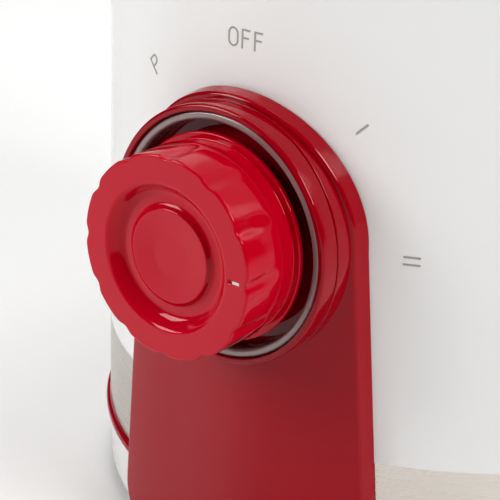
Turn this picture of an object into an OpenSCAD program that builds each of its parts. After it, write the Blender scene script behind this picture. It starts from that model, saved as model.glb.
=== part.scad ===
// Hot-air popcorn maker.
// The round body stands on four feet with its axis upright, and the dial faces -Y.
// The origin is on the table, at the middle of the footprint; axis_y moves the body's axis back from it,
// because the dial and the chute reach further forward than anything reaches back.

/* [Body] */
// Outer diameter of the round housing
body_d = 193; // [175:1:232]
// Wall of the moulded housings
wall = 3; // [2.4:0.1:4]
// Height of the white upper housing, from the band to the top trim
housing_h = 160; // [155:1:195]
// Height of the steel band
band_h = 26.2; // [20:0.1:34]
// Sheet thickness of the steel band
band_t = 0.6; // [0.4:0.1:1]
// Height of the red base ring and of the red top trim
ring_h = 2.8; // [2:0.1:5]
// How far the base ring and the top trim stand out of the housing
ring_proud = 1.2; // [0.6:0.1:3]
// Height of the bottom cover's skirt
skirt_h = 14.8; // [12:0.1:20]
// Step in from the housing to the skirt
skirt_inset = 0.5; // [0.3:0.1:2]
// Thickness of the bottom cover's floor
floor_t = 2.5; // [2:0.1:4]
// Height of a foot under the cover
foot_h = 3; // [2:0.1:6]
// Diameter of a foot
foot_d = 18; // [12:1:24]

/* [Dial] */
// Height of the dial's axis above the seam between band and housing
dial_rise = 53.2; // [50:0.1:70]
// Diameter of the knob over its lobes
knob_d = 48.7; // [40:0.1:52]
// Distance from the body's front line to the knob's face
knob_reach = 27.5; // [25:0.1:32]
// Length of the gripping part of the knob
grip_len = 13.1; // [10:0.1:15]
// Number of lobes round the knob
lobes = 12; // [8:1:18]
// Depth of the flutes between the lobes
flute_depth = 0.7; // [0.3:0.1:1.2]
// Diameter of the dished groove in the face
dish_d = 34.4; // [28:0.1:38]
// Depth of the dished groove
dish_depth = 2.2; // [1:0.1:3]
// Diameter of the raised middle of the face
button_d = 22; // [18:0.1:26]
// Diameter of the skirt at the back of the knob
knob_skirt_d = 50.6; // [44:0.1:54]
// Thickness of the knob's skirt
knob_skirt_t = 1.4; // [1:0.1:2]
// Wall of the hollow knob
knob_wall = 2; // [1.5:0.1:3]
// Outer diameter of the red collar round the knob
collar_d = 63.4; // [58:0.1:68]
// Distance from the body's front line to the collar's rim
collar_reach = 9.8; // [9:0.1:11]
// Distance from the body's front line to the boss that the collar sits on
boss_reach = 4.6; // [4.2:0.1:5]
// Width of the grey ring inside the collar
trim_w = 2.2; // [1.5:0.1:3]
// Depth of the grey ring
trim_t = 2; // [1.2:0.1:3]
// Diameter of the switch shaft
shaft_d = 6; // [5:0.1:8]

/* [Panel] */
// Radius of the arch at the top of the panel
arch_r = 33.1; // [32.8:0.1:36]
// Half width gained for each millimetre down
panel_spread = 0.07; // [0:0.01:0.12]
// How far the panel's face stands out of the housing
panel_proud = 4.5; // [4:0.1:6]
// Gap between the panel's back and the housing
panel_gap = 0.3; // [0.2:0.1:0.5]
// Radius of the panel's bottom corners
panel_corner_r = 13; // [6:1:18]
// Height of the panel's bottom edge above the table
panel_lift = 2; // [1.5:0.1:5]

/* [Popping chamber] */
// Inner diameter of the popping chamber
chamber_d = 84; // [70:1:92]
// Depth of the popping chamber
chamber_h = 92; // [80:1:98]
// Sheet thickness of the chamber
chamber_t = 1; // [0.8:0.1:1.6]
// Width of the chamber's flange
flange_w = 9; // [7:0.5:12]
// Air gap between the chamber and the heater shell
air_gap = 7; // [5:0.5:9]
// Number of air louvres low in the chamber's wall
louvres = 16; // [8:1:24]

/* [Fan and motor] */
// Diameter of the motor
motor_d = 38; // [34:1:42]
// Length of the motor
motor_h = 44; // [36:1:44]
// Diameter of the motor shaft
motor_shaft_d = 4; // [3:0.1:5]
// Diameter of the fan wheel
fan_d = 84; // [70:1:86]
// Height of the fan wheel
fan_h = 16; // [12:1:18]
// Number of fan blades
blades = 14; // [8:1:20]

/* [Hood] */
// Diameter of the hood where it meets the top deck
hood_d = 164; // [150:1:166]
// Diameter of the hood's flat top
hood_top_d = 132; // [120:1:136]
// Height of the hood above the deck
hood_h = 84; // [80:1:100]
// Wall of the hood
hood_wall = 2.4; // [2:0.1:3.5]
// Distance from the body's axis to the chute's lip
chute_reach = 140; // [128:1:150]
// Outer width of the chute
chute_w = 84; // [70:1:92]
// Outer height of the chute's mouth
chute_mouth_h = 44; // [38:1:48]
// Diameter of the measuring cup's bowl
cup_d = 78; // [66:1:84]
// Depth of the measuring cup below its rim
cup_h = 34; // [26:1:40]
// Wall of the measuring cup
cup_wall = 2; // [1.6:0.1:3]

/* [Fits] */
// Radial clearance of a running fit
run_fit = 0.05; // [0.02:0.01:0.1]
// Clearance between parts that lift off one another
loose_fit = 0.4; // [0.3:0.05:0.8]
// Clearance of a part that drops into its seat
seat_fit = 0.15; // [0.1:0.05:0.4]

/* [Hidden] */
$fn = 96;
eps = 0.01;
body_r = body_d / 2;

// Levels up the body
skirt_z = foot_h;
ring_z = skirt_z + skirt_h;
band_z = ring_z + ring_h;
seam_z = band_z + band_h;
dial_z = seam_z + dial_rise;
trim_z = seam_z + housing_h;
deck_z = trim_z + ring_h;
hood_top_z = deck_z + hood_h;

// The body's axis stands back from the origin so that the footprint is centred
gland_out = 5;
gland_r = 4;
cord_r = 2.8;
back_reach = body_r + gland_out;
front_reach = max(body_r + knob_reach, chute_reach);
axis_y = (front_reach - back_reach) / 2;

// Round vents at the back: five rows of seven
vent_d = 4.4;
vent_step = 6;
vent_rise = 22;
vent_pitch = 9;

// Boss that takes a self-tapping screw, and the screws
boss_r = 4;
screw_r = 1.5;
head_r = 3;
head_t = 2;
base_screw_r = body_r - wall - band_t - boss_r - 2;
base_screw_n = 4;
base_screw_a = 22.5;
foot_place_r = body_r - foot_d / 2 - 9;
foot_sink = 2;
foot_plug_r = foot_d / 2 - 3;

// Dial stack, measured outwards from the body's front line
knob_r = knob_d / 2;
flute_r = 3.4;
knob_back = knob_reach - grip_len;
knob_skirt_r = knob_skirt_d / 2;
knob_skirt_s = collar_reach - 1;
knob_neck_r = knob_r - flute_depth - 0.1;
hub_r = shaft_d / 2 + 4;
trim_s = collar_reach - 0.6 - trim_t;
collar_r = collar_d / 2;
collar_lip = 1.7;
trim_out_r = collar_r - collar_lip;
trim_in_r = trim_out_r - trim_w;
bush_r = 5;
nut_af_r = 8;
nut_t = 2.6;
shaft_r = shaft_d / 2;
shaft_flat = shaft_r * 0.5;
shaft_tip = knob_reach - 6;
switch_w = 34;
switch_depth = 22;
switch_wall = 2;
switch_front = -(body_r - sqrt(pow(body_r - wall, 2) - pow(switch_w / 2, 2))) - 0.5;
switch_back = switch_front - switch_depth;
tab_x = [-12, -4, 4, 12];
cam_r = 9.5;
cam_t = 8;
cam_back = switch_front - switch_wall - 4 - cam_t;
detents = 8;
ball_r = 1.6;
ball_at = cam_r + ball_r + 0.3;

// Panel
panel_out_r = body_r + panel_proud;
panel_in_r = body_r + panel_gap;
arch_rise = 0.8;
panel_half = arch_r + panel_spread * (dial_z - panel_lift);
panel_bolts = [[-21, 19], [21, 19], [-22, -42], [22, -42]];
panel_boss_in = body_r - wall - 3;

// Chamber, heater and fan stack
chamber_r = chamber_d / 2;
chamber_out_r = chamber_r + chamber_t;
deck_t = 3;
deck_rim_h = 3;
deck_skirt_t = 2.4;
deck_skirt_h = 7;
deck_boss_r = 3.2;
deck_out_r = body_r - wall - seat_fit;
deck_bolt_r = deck_out_r - deck_skirt_t - deck_boss_r - 0.2;
seal_t = 2;
flange_z = deck_z + seal_t;
chamber_z = flange_z + chamber_t - chamber_h;
shell_t = 0.8;
shell_r = chamber_out_r + air_gap;
fan_r = fan_d / 2;
motor_r = motor_d / 2;
motor_shaft_r = motor_shaft_d / 2;
bearing_h = 6;
bearing_r = motor_shaft_r + 3;
fan_nut_t = 2.2;
motor_z = skirt_z + floor_t + 6;
motor_top = motor_z + motor_h;
bracket_t = 2;
bracket_z = motor_top;
fan_floor_z = bracket_z + bracket_t + 6;
fan_wall = 2;
fan_z = fan_floor_z + fan_wall + 2.5;
fan_roof_z = fan_z + fan_h + 2.5;
fan_house_r = shell_r + shell_t + fan_wall;
inlet_r = fan_r * 0.62;
blade_lean = 35;
blade_in_r = inlet_r + 1;
blade_len = sqrt(pow(fan_r - 0.8, 2) - pow(blade_in_r * sin(blade_lean), 2)) - blade_in_r * cos(blade_lean);
shell_z = fan_roof_z;
shell_top = deck_z - deck_t - 6;
heater_z = shell_z + 3;
heater_gap = 3;
heater_h = chamber_z - heater_gap - heater_z;
coil_r = 1.6;
coil_turns = 3;
thermostat_a = 200;
mount_n = 3;
mount_place_r = fan_house_r - 5;
post_r = 4.5;
intake_r = mount_place_r - post_r - 2.5;
slot_w = 3;
slot_pitch = 7;
slot_side = floor((intake_r - 6) / slot_pitch);

// Hood and cup
hood_r = hood_d / 2;
hood_top_r = hood_top_d / 2;
cup_r = cup_d / 2;
cup_rim = 7;
cup_seat_h = 3;
hood_foot = 14;
chute_roof = 12;
mouth_z = deck_z + 8;
chute_drop = 16;
deck_rim_r = hood_r + loose_fit;
grip_w = 40;
grip_h = 9;
grip_out = 4;
grip_z = deck_z + deck_rim_h + loose_fit;

module on_axis() translate([0, axis_y, 0]) children();
// Local +Z points out of the front of the body along the dial's axis, local +Y points up
module at_dial() translate([0, axis_y - body_r, dial_z]) rotate([90, 0, 0]) children();
module tube(r_out, r_in, h) difference() {
    cylinder(r = r_out, h = h);
    translate([0, 0, -1]) cylinder(r = r_in, h = h + 2);
}
module around(n, r, start = 0) for (i = [0 : n - 1])
    rotate([0, 0, start + i * 360 / n]) translate([r, 0, 0]) children();
module screw(length) {
    cylinder(r = screw_r, h = length);
    difference() {
        translate([0, 0, -head_t]) cylinder(r = head_r, h = head_t);
        // Cross recess
        for (a = [0, 90]) rotate([0, 0, a])
            translate([-head_r * 0.6, -0.4, -head_t - 1]) cube([head_r * 1.2, 0.8, 1.8]);
    }
}

// Outline of the panel in the dial's plane: an arch over a tongue that widens downwards
module panel_outline(grow = 0) {
    bottom = panel_lift - dial_z - grow;
    half = panel_half + grow;
    corner = panel_corner_r;
    top_r = arch_r + grow;
    translate([0, arch_rise]) circle(r = top_r);
    polygon([[-top_r, arch_rise], [top_r, arch_rise], [half, bottom + corner],
             [half - corner, bottom + corner], [half - corner, bottom], [corner - half, bottom],
             [corner - half, bottom + corner], [-half, bottom + corner]]);
    for (side = [-1, 1]) translate([side * (half - corner), bottom + corner]) circle(r = corner);
}

// ---- Housings and base ----
module rear_vents() for (row = [0 : 4], k = [-3 : 3]) rotate([0, 0, 90 + k * vent_step])
    translate([body_r - wall - 2, 0, seam_z + vent_rise + row * vent_pitch])
        rotate([0, 90, 0]) cylinder(d = vent_d, h = wall + 4);

module housing() color("white") on_axis() difference() {
    union() {
        translate([0, 0, seam_z]) tube(body_r, body_r - wall, housing_h);
        // Ledge under the top deck, and sockets for the deck's screws
        translate([0, 0, trim_z - deck_skirt_h - 3]) tube(body_r - wall + eps, deck_bolt_r, 3);
        around(4, deck_bolt_r, 45) translate([0, 0, trim_z - 24])
            cylinder(r = deck_boss_r, h = deck_z - deck_t - trim_z + 24);
    }
    around(4, deck_bolt_r, 45) translate([0, 0, trim_z - 20]) cylinder(r = screw_r, h = 30);
    rear_vents();
    translate([0, -body_r + wall * 1.5 + 4, dial_z]) rotate([90, 0, 0])
        cylinder(r = bush_r + seat_fit, h = wall * 3 + 8);
    for (b = panel_bolts) translate([b[0], -body_r + wall * 3, dial_z + b[1]]) rotate([90, 0, 0])
        cylinder(r = boss_r + seat_fit, h = wall * 5);
}

module lower_housing() color("gainsboro") on_axis() difference() {
    union() {
        translate([0, 0, ring_z]) tube(body_r - band_t, body_r - band_t - wall, ring_h + band_h);
        // Spigot that the upper housing slides over
        translate([0, 0, seam_z - 6]) tube(body_r - wall - seat_fit, body_r - wall * 2 - seat_fit, 14);
        translate([0, 0, seam_z - 6]) tube(body_r - band_t - 1, body_r - wall * 2 - seat_fit, 3);
        around(base_screw_n, base_screw_r, base_screw_a) translate([0, 0, ring_z])
            cylinder(r = boss_r, h = band_h);
    }
    around(base_screw_n, base_screw_r, base_screw_a) translate([0, 0, ring_z - 1])
        cylinder(r = screw_r, h = band_h - 4);
    for (b = panel_bolts) translate([b[0], -body_r + wall * 4, dial_z + b[1]]) rotate([90, 0, 0])
        cylinder(r = boss_r + 1, h = wall * 5);
}

module steel_band() color("silver") on_axis() translate([0, 0, band_z])
    tube(body_r, body_r - band_t, band_h);

// The base ring is open behind the control panel
module base_ring() color("firebrick") difference() {
    on_axis() translate([0, 0, ring_z]) difference() {
        cylinder(r = body_r + ring_proud, h = ring_h);
        translate([0, 0, -1]) cylinder(r = body_r - band_t + 0.05, h = ring_h + 2);
    }
    at_dial() translate([0, 0, -body_r]) linear_extrude(body_r * 2) panel_outline(0.4);
}

module bottom_cover() color("whitesmoke") on_axis() difference() {
    union() {
        translate([0, 0, skirt_z]) tube(body_r - skirt_inset, body_r - skirt_inset - wall, skirt_h);
        translate([0, 0, skirt_z]) cylinder(r = body_r - skirt_inset - wall + eps, h = floor_t);
        around(base_screw_n, base_screw_r, base_screw_a) translate([0, 0, skirt_z])
            cylinder(r = boss_r, h = skirt_h);
        around(mount_n, mount_place_r, 90) translate([0, 0, skirt_z])
            cylinder(r = post_r, h = bracket_z - skirt_z - 1.5);
        // Plinth under the terminal block, and pegs under the rectifier board
        translate([-17, body_r - 38, skirt_z]) cube([34, 18, floor_t + 2]);
        for (x = [3, 23]) translate([board_x + x, board_y + 8, skirt_z])
            cylinder(r = 2.5, h = floor_t + board_lift);
    }
    // Air intake slots under the motor, as long as the circle they fill allows
    for (i = [-slot_side : slot_side]) {
        half = sqrt(pow(intake_r, 2) - pow(i * slot_pitch, 2));
        translate([i * slot_pitch - slot_w / 2, -half, skirt_z - 1])
            cube([slot_w, 2 * half, floor_t + 2]);
    }
    around(base_screw_n, base_screw_r, base_screw_a) translate([0, 0, skirt_z - 1]) {
        cylinder(r = screw_r + 0.3, h = skirt_h + 2);
        cylinder(r = head_r + 0.4, h = head_t + 4);
    }
    around(mount_n, mount_place_r, 90) translate([0, 0, bracket_z - 16]) cylinder(r = screw_r, h = 20);
    around(4, foot_place_r, 45) translate([0, 0, skirt_z - 1])
        cylinder(r = foot_plug_r + seat_fit, h = foot_sink + 1);
    translate([0, body_r - wall - 6, skirt_z + skirt_h / 2]) rotate([-90, 0, 0])
        cylinder(r = gland_r + seat_fit, h = wall + 12);
}

module feet() color("dimgray") on_axis() around(4, foot_place_r, 45)
    rotate_extrude() polygon([[0, 0], [foot_d / 2 - 1, 0], [foot_d / 2, 1], [foot_d / 2 - 1, foot_h],
        [foot_plug_r, foot_h], [foot_plug_r, foot_h + foot_sink], [0, foot_h + foot_sink]]);

module base_screws() color("silver") on_axis() around(base_screw_n, base_screw_r, base_screw_a)
    translate([0, 0, skirt_z + head_t + 3]) screw(skirt_h + 4);

// ---- Control panel and dial ----
module control_panel() color("firebrick") difference() {
    union() {
        intersection() {
            on_axis() translate([0, 0, -1]) tube(panel_out_r, panel_in_r, dial_z + arch_r + 20);
            at_dial() translate([0, 0, -body_r / 2]) linear_extrude(body_r) panel_outline();
        }
        // Flat boss under the collar
        difference() {
            at_dial() translate([0, 0, -8])
                cylinder(r1 = arch_r - 0.8, r2 = collar_r + 0.2, h = 8 + boss_reach);
            on_axis() cylinder(r = panel_in_r, h = dial_z + arch_r + 20);
        }
        for (b = panel_bolts) at_dial() translate([b[0], b[1], panel_boss_in - body_r])
            cylinder(r = boss_r, h = body_r - panel_boss_in);
    }
    at_dial() translate([0, 0, -8]) cylinder(r = bush_r + seat_fit, h = 20);
    for (b = panel_bolts) at_dial() translate([b[0], b[1], panel_boss_in - body_r - 1])
        cylinder(r = screw_r, h = 6);
}

module panel_screws() color("silver") for (b = panel_bolts)
    at_dial() translate([b[0], b[1], panel_boss_in - body_r]) screw(4.5);

module dial_collar() color("firebrick") at_dial() rotate_extrude()
    polygon([[trim_in_r, boss_reach], [collar_r, boss_reach], [collar_r, collar_reach - 0.8],
        [collar_r - 0.25, collar_reach - 0.25], [collar_r - 0.8, collar_reach],
        [trim_out_r, collar_reach], [trim_out_r, trim_s], [trim_in_r, trim_s]]);

module dial_ring() color("gray") at_dial() translate([0, 0, trim_s]) rotate_extrude()
    polygon([[trim_in_r, 0], [trim_out_r - seat_fit, 0], [trim_out_r - seat_fit, trim_t - 0.5],
        [trim_out_r - seat_fit - 0.5, trim_t], [trim_in_r + 0.5, trim_t], [trim_in_r, trim_t - 0.5]]);

// Printed marks: strokes laid on the housing as a thin skin of ink
ink_t = 0.06;
stroke = 0.45;
mark_r = 45.5;
tick_r = 42.2;
tick_len = 3.6;
letter_h = 4.6;
letter_w = 3.1;
module rounded_loop(w, h) difference() {
    union() {
        translate([0, h / 2 - w / 2]) circle(d = w);
        translate([0, w / 2 - h / 2]) circle(d = w);
        square([w, h - w], center = true);
    }
    translate([0, h / 2 - w / 2]) circle(d = w - 2 * stroke);
    translate([0, w / 2 - h / 2]) circle(d = w - 2 * stroke);
    square([w - 2 * stroke, h - w], center = true);
}
module letter_f() {
    translate([0, -letter_h / 2]) square([stroke, letter_h]);
    translate([0, letter_h / 2 - stroke]) square([letter_w * 0.78, stroke]);
    translate([0, -stroke / 2 + 0.2]) square([letter_w * 0.68, stroke]);
}
module letter_p() {
    translate([-letter_w / 2, -letter_h / 2]) square([stroke, letter_h]);
    bowl = letter_h * 0.56;
    translate([-letter_w / 2 + letter_w - bowl / 2, letter_h / 2 - bowl / 2]) difference() {
        circle(d = bowl);
        circle(d = bowl - 2 * stroke);
        translate([-bowl, -bowl]) square([bowl, bowl * 2]);
    }
    for (up = [letter_h / 2 - stroke, letter_h / 2 - bowl])
        translate([-letter_w / 2, up]) square([letter_w - bowl / 2, stroke]);
}
module tick() translate([-stroke / 2, -tick_len / 2]) square([stroke, tick_len]);
module marks_outline() {
    rotate(45) translate([0, mark_r]) letter_p();
    translate([-letter_w * 1.25, mark_r]) rounded_loop(letter_w, letter_h);
    for (x = [-letter_w * 0.45, letter_w * 0.72]) translate([x, mark_r]) letter_f();
    rotate(-45) translate([0, tick_r]) tick();
    rotate(-90) for (x = [-0.9, 0.9]) translate([x, tick_r]) tick();
}
module dial_marks() color("darkgray") intersection() {
    on_axis() translate([0, 0, seam_z]) tube(body_r + ink_t, body_r, housing_h);
    at_dial() translate([0, 0, -body_r / 2]) linear_extrude(body_r) marks_outline();
}

module d_shaft(r, flat, h) difference() {
    cylinder(r = r, h = h);
    translate([-r * 2, flat, -1]) cube([r * 4, r * 2, h + 2]);
}

module knob() color("red") at_dial() difference() {
    rotate_extrude() polygon([[0, knob_skirt_s], [knob_skirt_r, knob_skirt_s],
        [knob_skirt_r, knob_skirt_s + knob_skirt_t - 0.4], [knob_skirt_r - 0.4, knob_skirt_s + knob_skirt_t],
        [knob_neck_r, knob_skirt_s + knob_skirt_t], [knob_neck_r, knob_back - 0.6],
        [knob_r - 0.6, knob_back], [knob_r, knob_back + 0.6],
        [knob_r, knob_reach - 0.8], [knob_r - 0.8, knob_reach],
        [dish_d / 2, knob_reach], [dish_d / 2 - 1.6, knob_reach - dish_depth * 0.6],
        [button_d / 2 + 2.4, knob_reach - dish_depth], [button_d / 2, knob_reach - dish_depth * 0.55],
        [0, knob_reach - dish_depth * 0.45]]);
    around(lobes, knob_r + flute_r - flute_depth) translate([0, 0, knob_back + 3])
        cylinder(r = flute_r, h = grip_len);
    // Hollow back, leaving the hub in the middle
    difference() {
        translate([0, 0, knob_skirt_s - 1])
            cylinder(r = knob_neck_r - knob_wall, h = knob_reach - dish_depth - knob_wall - knob_skirt_s + 1);
        cylinder(r = hub_r, h = knob_reach);
    }
    translate([0, 0, knob_skirt_s - 1])
        d_shaft(shaft_r + seat_fit, shaft_flat + seat_fit, shaft_tip - knob_skirt_s + 1.5);
    // Slot for the clip that grips the shaft's flat
    translate([-2.5, shaft_flat + seat_fit - eps, knob_skirt_s - 1])
        cube([5, 0.9, shaft_tip - knob_skirt_s - 2]);
    // Pointer line cut into the face; it points at the second setting
    translate([dish_d / 2 + 1.3, -0.4, knob_reach - 0.5]) cube([3.4, 0.8, 1]);
}

module knob_clip() color("silver") at_dial()
    translate([-2.2, shaft_flat + seat_fit + 0.1, knob_skirt_s + 0.5])
        cube([4.4, 0.6, shaft_tip - knob_skirt_s - 5]);

module switch_shaft() color("lightgray") at_dial() {
    translate([0, 0, cam_back - 3]) cylinder(r = shaft_r, h = boss_reach + nut_t - cam_back + 3);
    translate([0, 0, boss_reach + nut_t - eps])
        d_shaft(shaft_r, shaft_flat, shaft_tip - boss_reach - nut_t);
}

module switch_cam() color("ivory") at_dial() translate([0, 0, cam_back]) difference() {
    cylinder(r = cam_r, h = cam_t);
    translate([0, 0, -1]) cylinder(r = shaft_r, h = cam_t + 2);
    around(detents, cam_r + 1, 22.5) translate([0, 0, -1]) cylinder(r = ball_r, h = cam_t + 2);
}

module switch_body() color("saddlebrown") at_dial() difference() {
    union() {
        translate([-switch_w / 2, -switch_w / 2, switch_back + switch_wall])
            cube([switch_w, switch_w, switch_depth - switch_wall]);
        // Shoulder behind the housing's wall, and the threaded bush through wall and panel
        translate([0, 0, switch_front - eps]) cylinder(r = bush_r + 3, h = -wall - 0.5 - switch_front);
        translate([0, 0, switch_front]) cylinder(r = bush_r, h = boss_reach + nut_t + 0.6 - switch_front);
    }
    translate([-switch_w / 2 + switch_wall, -switch_w / 2 + switch_wall, switch_back - 1])
        cube([switch_w - 2 * switch_wall, switch_w - 2 * switch_wall, switch_depth - switch_wall + 1]);
    translate([0, 0, switch_back]) cylinder(r = shaft_r + run_fit, h = switch_depth + 30);
}

module switch_cover() color("peru") at_dial() difference() {
    translate([-switch_w / 2, -switch_w / 2, switch_back]) cube([switch_w, switch_w, switch_wall]);
    for (x = tab_x) translate([x - 0.5, -switch_w / 2 + 5, switch_back - 1])
        cube([1, 6.4, switch_wall + 2]);
}

module switch_contacts() color("goldenrod") at_dial() for (x = tab_x)
    translate([x - 0.4, -switch_w / 2 + 5.1, switch_back - 7]) cube([0.8, 6.2, 15]);

module switch_nut() color("silver") at_dial() translate([0, 0, boss_reach]) difference() {
    cylinder(r = nut_af_r, h = nut_t, $fn = 6);
    translate([0, 0, -1]) cylinder(r = bush_r, h = nut_t + 2);
}

module detent_ball() color("silver") at_dial() rotate([0, 0, 67.5])
    translate([ball_at, 0, cam_back + cam_t / 2]) sphere(r = ball_r);

module detent_spring() color("darkgray") at_dial() rotate([0, 0, 67.5]) for (i = [0 : 2])
    translate([ball_at + ball_r + 0.3 + i * 0.9, 0, cam_back + cam_t / 2]) rotate([0, 90, 0])
        rotate_extrude() translate([1.1, 0]) circle(r = 0.25, $fn = 24);

// ---- Top deck and popping chamber ----
module top_deck() color("whitesmoke") on_axis() difference() {
    rotate_extrude() polygon([[chamber_out_r + loose_fit, deck_z - deck_t],
        [deck_out_r - deck_skirt_t, deck_z - deck_t], [deck_out_r - deck_skirt_t, trim_z - deck_skirt_h],
        [deck_out_r, trim_z - deck_skirt_h], [deck_out_r, deck_z + deck_rim_h],
        [deck_rim_r, deck_z + deck_rim_h], [deck_rim_r, deck_z], [chamber_out_r + loose_fit, deck_z]]);
    around(4, deck_bolt_r, 45) translate([0, 0, trim_z - 10]) cylinder(r = screw_r + 0.3, h = 30);
    around(4, deck_bolt_r, 45) translate([0, 0, deck_z + deck_rim_h - head_t - 0.2])
        cylinder(r = head_r + 0.2, h = head_t + 1);
}

module top_trim() color("firebrick") on_axis() translate([0, 0, trim_z])
    tube(body_r + ring_proud, body_r - wall + seat_fit, ring_h);

module deck_screws() color("silver") on_axis() around(4, deck_bolt_r, 45)
    translate([0, 0, deck_z + deck_rim_h - head_t]) rotate([180, 0, 0]) screw(14);

module popping_chamber() color("lightsteelblue") on_axis() difference() {
    rotate_extrude() polygon([[0, chamber_z + 9], [6, chamber_z + 9], [chamber_r - 8, chamber_z],
        [chamber_r - 2, chamber_z], [chamber_out_r, chamber_z + 3], [chamber_out_r, flange_z],
        [chamber_out_r + flange_w, flange_z], [chamber_out_r + flange_w, flange_z + chamber_t],
        [chamber_r, flange_z + chamber_t], [chamber_r, chamber_z + 3.4],
        [chamber_r - 2.4, chamber_z + chamber_t], [chamber_r - 7.8, chamber_z + chamber_t],
        [6.2, chamber_z + 9 + chamber_t], [0, chamber_z + 9 + chamber_t]]);
    // Louvres that turn the air round the bowl
    around(louvres, chamber_r - 3) translate([0, 0, chamber_z + 11]) rotate([0, 0, 32])
        translate([0, -0.7, -5]) cube([9, 1.4, 10]);
}

module chamber_seal() color("orangered") on_axis() translate([0, 0, deck_z])
    tube(chamber_out_r + flange_w - 0.5, chamber_out_r + 0.5, seal_t);

module heater_shell() color("silver") on_axis() difference() {
    translate([0, 0, shell_z]) tube(shell_r + shell_t, shell_r, shell_top - shell_z);
    rotate([0, 0, thermostat_a]) translate([shell_r - 2, 0, chamber_z - 2]) rotate([0, 90, 0])
        cylinder(r = 1.6, h = 6);
}

// Each winding of the heater stands at one of these shares of the shell's radius
module windings() for (t = [0 : coil_turns - 1], k = [0.42, 0.72])
    translate([0, 0, heater_z + heater_h * (t + 0.5) / coil_turns])
        rotate_extrude() translate([shell_r * k, 0]) children();

// Mica wings in a cross, notched for the windings
module heater_former() color("tan") on_axis() difference() {
    for (a = [0, 90]) rotate([0, 0, a]) translate([-shell_r + 1, -0.5, heater_z])
        cube([2 * shell_r - 2, 1, heater_h]);
    windings() square(2 * coil_r + 0.6, center = true);
}

module heater_coil() color("dimgray") on_axis() windings() difference() {
    circle(r = coil_r, $fn = 32);
    circle(r = coil_r - 0.5, $fn = 32);
}

module thermostat() color("silver") on_axis() rotate([0, 0, thermostat_a])
    translate([shell_r + shell_t, 0, chamber_z + 20]) rotate([0, 90, 0]) {
        cylinder(r = 7, h = 5);
        translate([0, 0, 5]) cylinder(r = 5, h = 3);
        for (y = [-4, 4]) translate([-1.5, y - 0.4, 8]) cube([3, 0.8, 7]);
    }

module thermal_fuse() color("gold") on_axis() rotate([0, 0, thermostat_a - 40])
    translate([shell_r + shell_t + 2.2, 0, chamber_z + 8]) {
        cylinder(r = 2, h = 12);
        translate([0, 0, -6]) cylinder(r = 0.5, h = 24);
    }

// ---- Fan and motor ----
module fan_housing() color("darkkhaki") on_axis() difference() {
    union() {
        translate([0, 0, fan_floor_z])
            tube(fan_house_r, fan_house_r - fan_wall, fan_roof_z - fan_floor_z + 6);
        translate([0, 0, fan_floor_z]) cylinder(r = fan_house_r - fan_wall + eps, h = fan_wall);
    }
    translate([0, 0, fan_floor_z - 1]) cylinder(r = inlet_r, h = fan_wall + 2);
    around(mount_n, mount_place_r, 90) translate([0, 0, fan_floor_z - 1])
        cylinder(r = screw_r, h = fan_wall + 2);
}

module fan_wheel() color("black") on_axis() translate([0, 0, fan_z]) difference() {
    union() {
        translate([0, 0, fan_h - 1.5]) cylinder(r = fan_r, h = 1.5);
        cylinder(r = 7, h = fan_h);
        tube(fan_r, fan_r - 1.2, 1.2);
        around(blades, blade_in_r) rotate([0, 0, blade_lean]) cube([blade_len, 1.2, fan_h - 1]);
    }
    translate([0, 0, -1]) cylinder(r = motor_shaft_r, h = fan_h + 2);
}

module fan_nut() color("silver") on_axis() translate([0, 0, fan_z + fan_h]) difference() {
    cylinder(r = 4, h = fan_nut_t, $fn = 6);
    translate([0, 0, -1]) cylinder(r = motor_shaft_r, h = 5);
}

module motor_shaft() color("gainsboro") on_axis() translate([0, 0, motor_z - 3])
    cylinder(r = motor_shaft_r, h = fan_z + fan_h + fan_nut_t - motor_z + 3);

module armature() color("chocolate") on_axis() translate([0, 0, motor_z + bearing_h + 12]) difference() {
    cylinder(r = motor_r - 7, h = motor_h - 2 * bearing_h - 15);
    translate([0, 0, -1]) cylinder(r = motor_shaft_r, h = motor_h);
    around(7, motor_r - 7) translate([-3, -0.8, -1]) cube([5, 1.6, motor_h]);
}

module commutator() color("peru") on_axis() translate([0, 0, motor_z + bearing_h + 3])
    tube(motor_shaft_r + 3.2, motor_shaft_r, 8);

module motor_can() color("lightgray") on_axis() difference() {
    translate([0, 0, motor_z + 3]) cylinder(r = motor_r, h = motor_h - 3);
    translate([0, 0, motor_z + 2]) cylinder(r = motor_r - 2, h = motor_h - 4);
    translate([0, 0, motor_z]) cylinder(r = motor_shaft_r + 1, h = motor_h + 5);
}

module motor_end_cap() color("black") on_axis() difference() {
    union() {
        translate([0, 0, motor_z]) cylinder(r = motor_r, h = 3);
        translate([0, 0, motor_z]) cylinder(r = bearing_r + 2, h = bearing_h + 1);
    }
    translate([0, 0, motor_z + 1]) cylinder(r = bearing_r, h = bearing_h + 1);
    translate([0, 0, motor_z - 1]) cylinder(r = motor_shaft_r + 0.6, h = bearing_h + 4);
}

module bearing() tube(bearing_r, motor_shaft_r + run_fit, bearing_h);
module upper_bearing() color("darkgoldenrod") on_axis()
    translate([0, 0, motor_top - 2 - bearing_h]) bearing();
module lower_bearing() color("darkgoldenrod") on_axis()
    translate([0, 0, motor_z + 1]) bearing();

module brushes() color("darkslategray") on_axis() for (side = [0, 180]) rotate([0, 0, side])
    translate([motor_shaft_r + 3.6, -1.5, motor_z + bearing_h + 5])
        cube([motor_r - 2.3 - motor_shaft_r - 3.6, 3, 4]);

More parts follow.
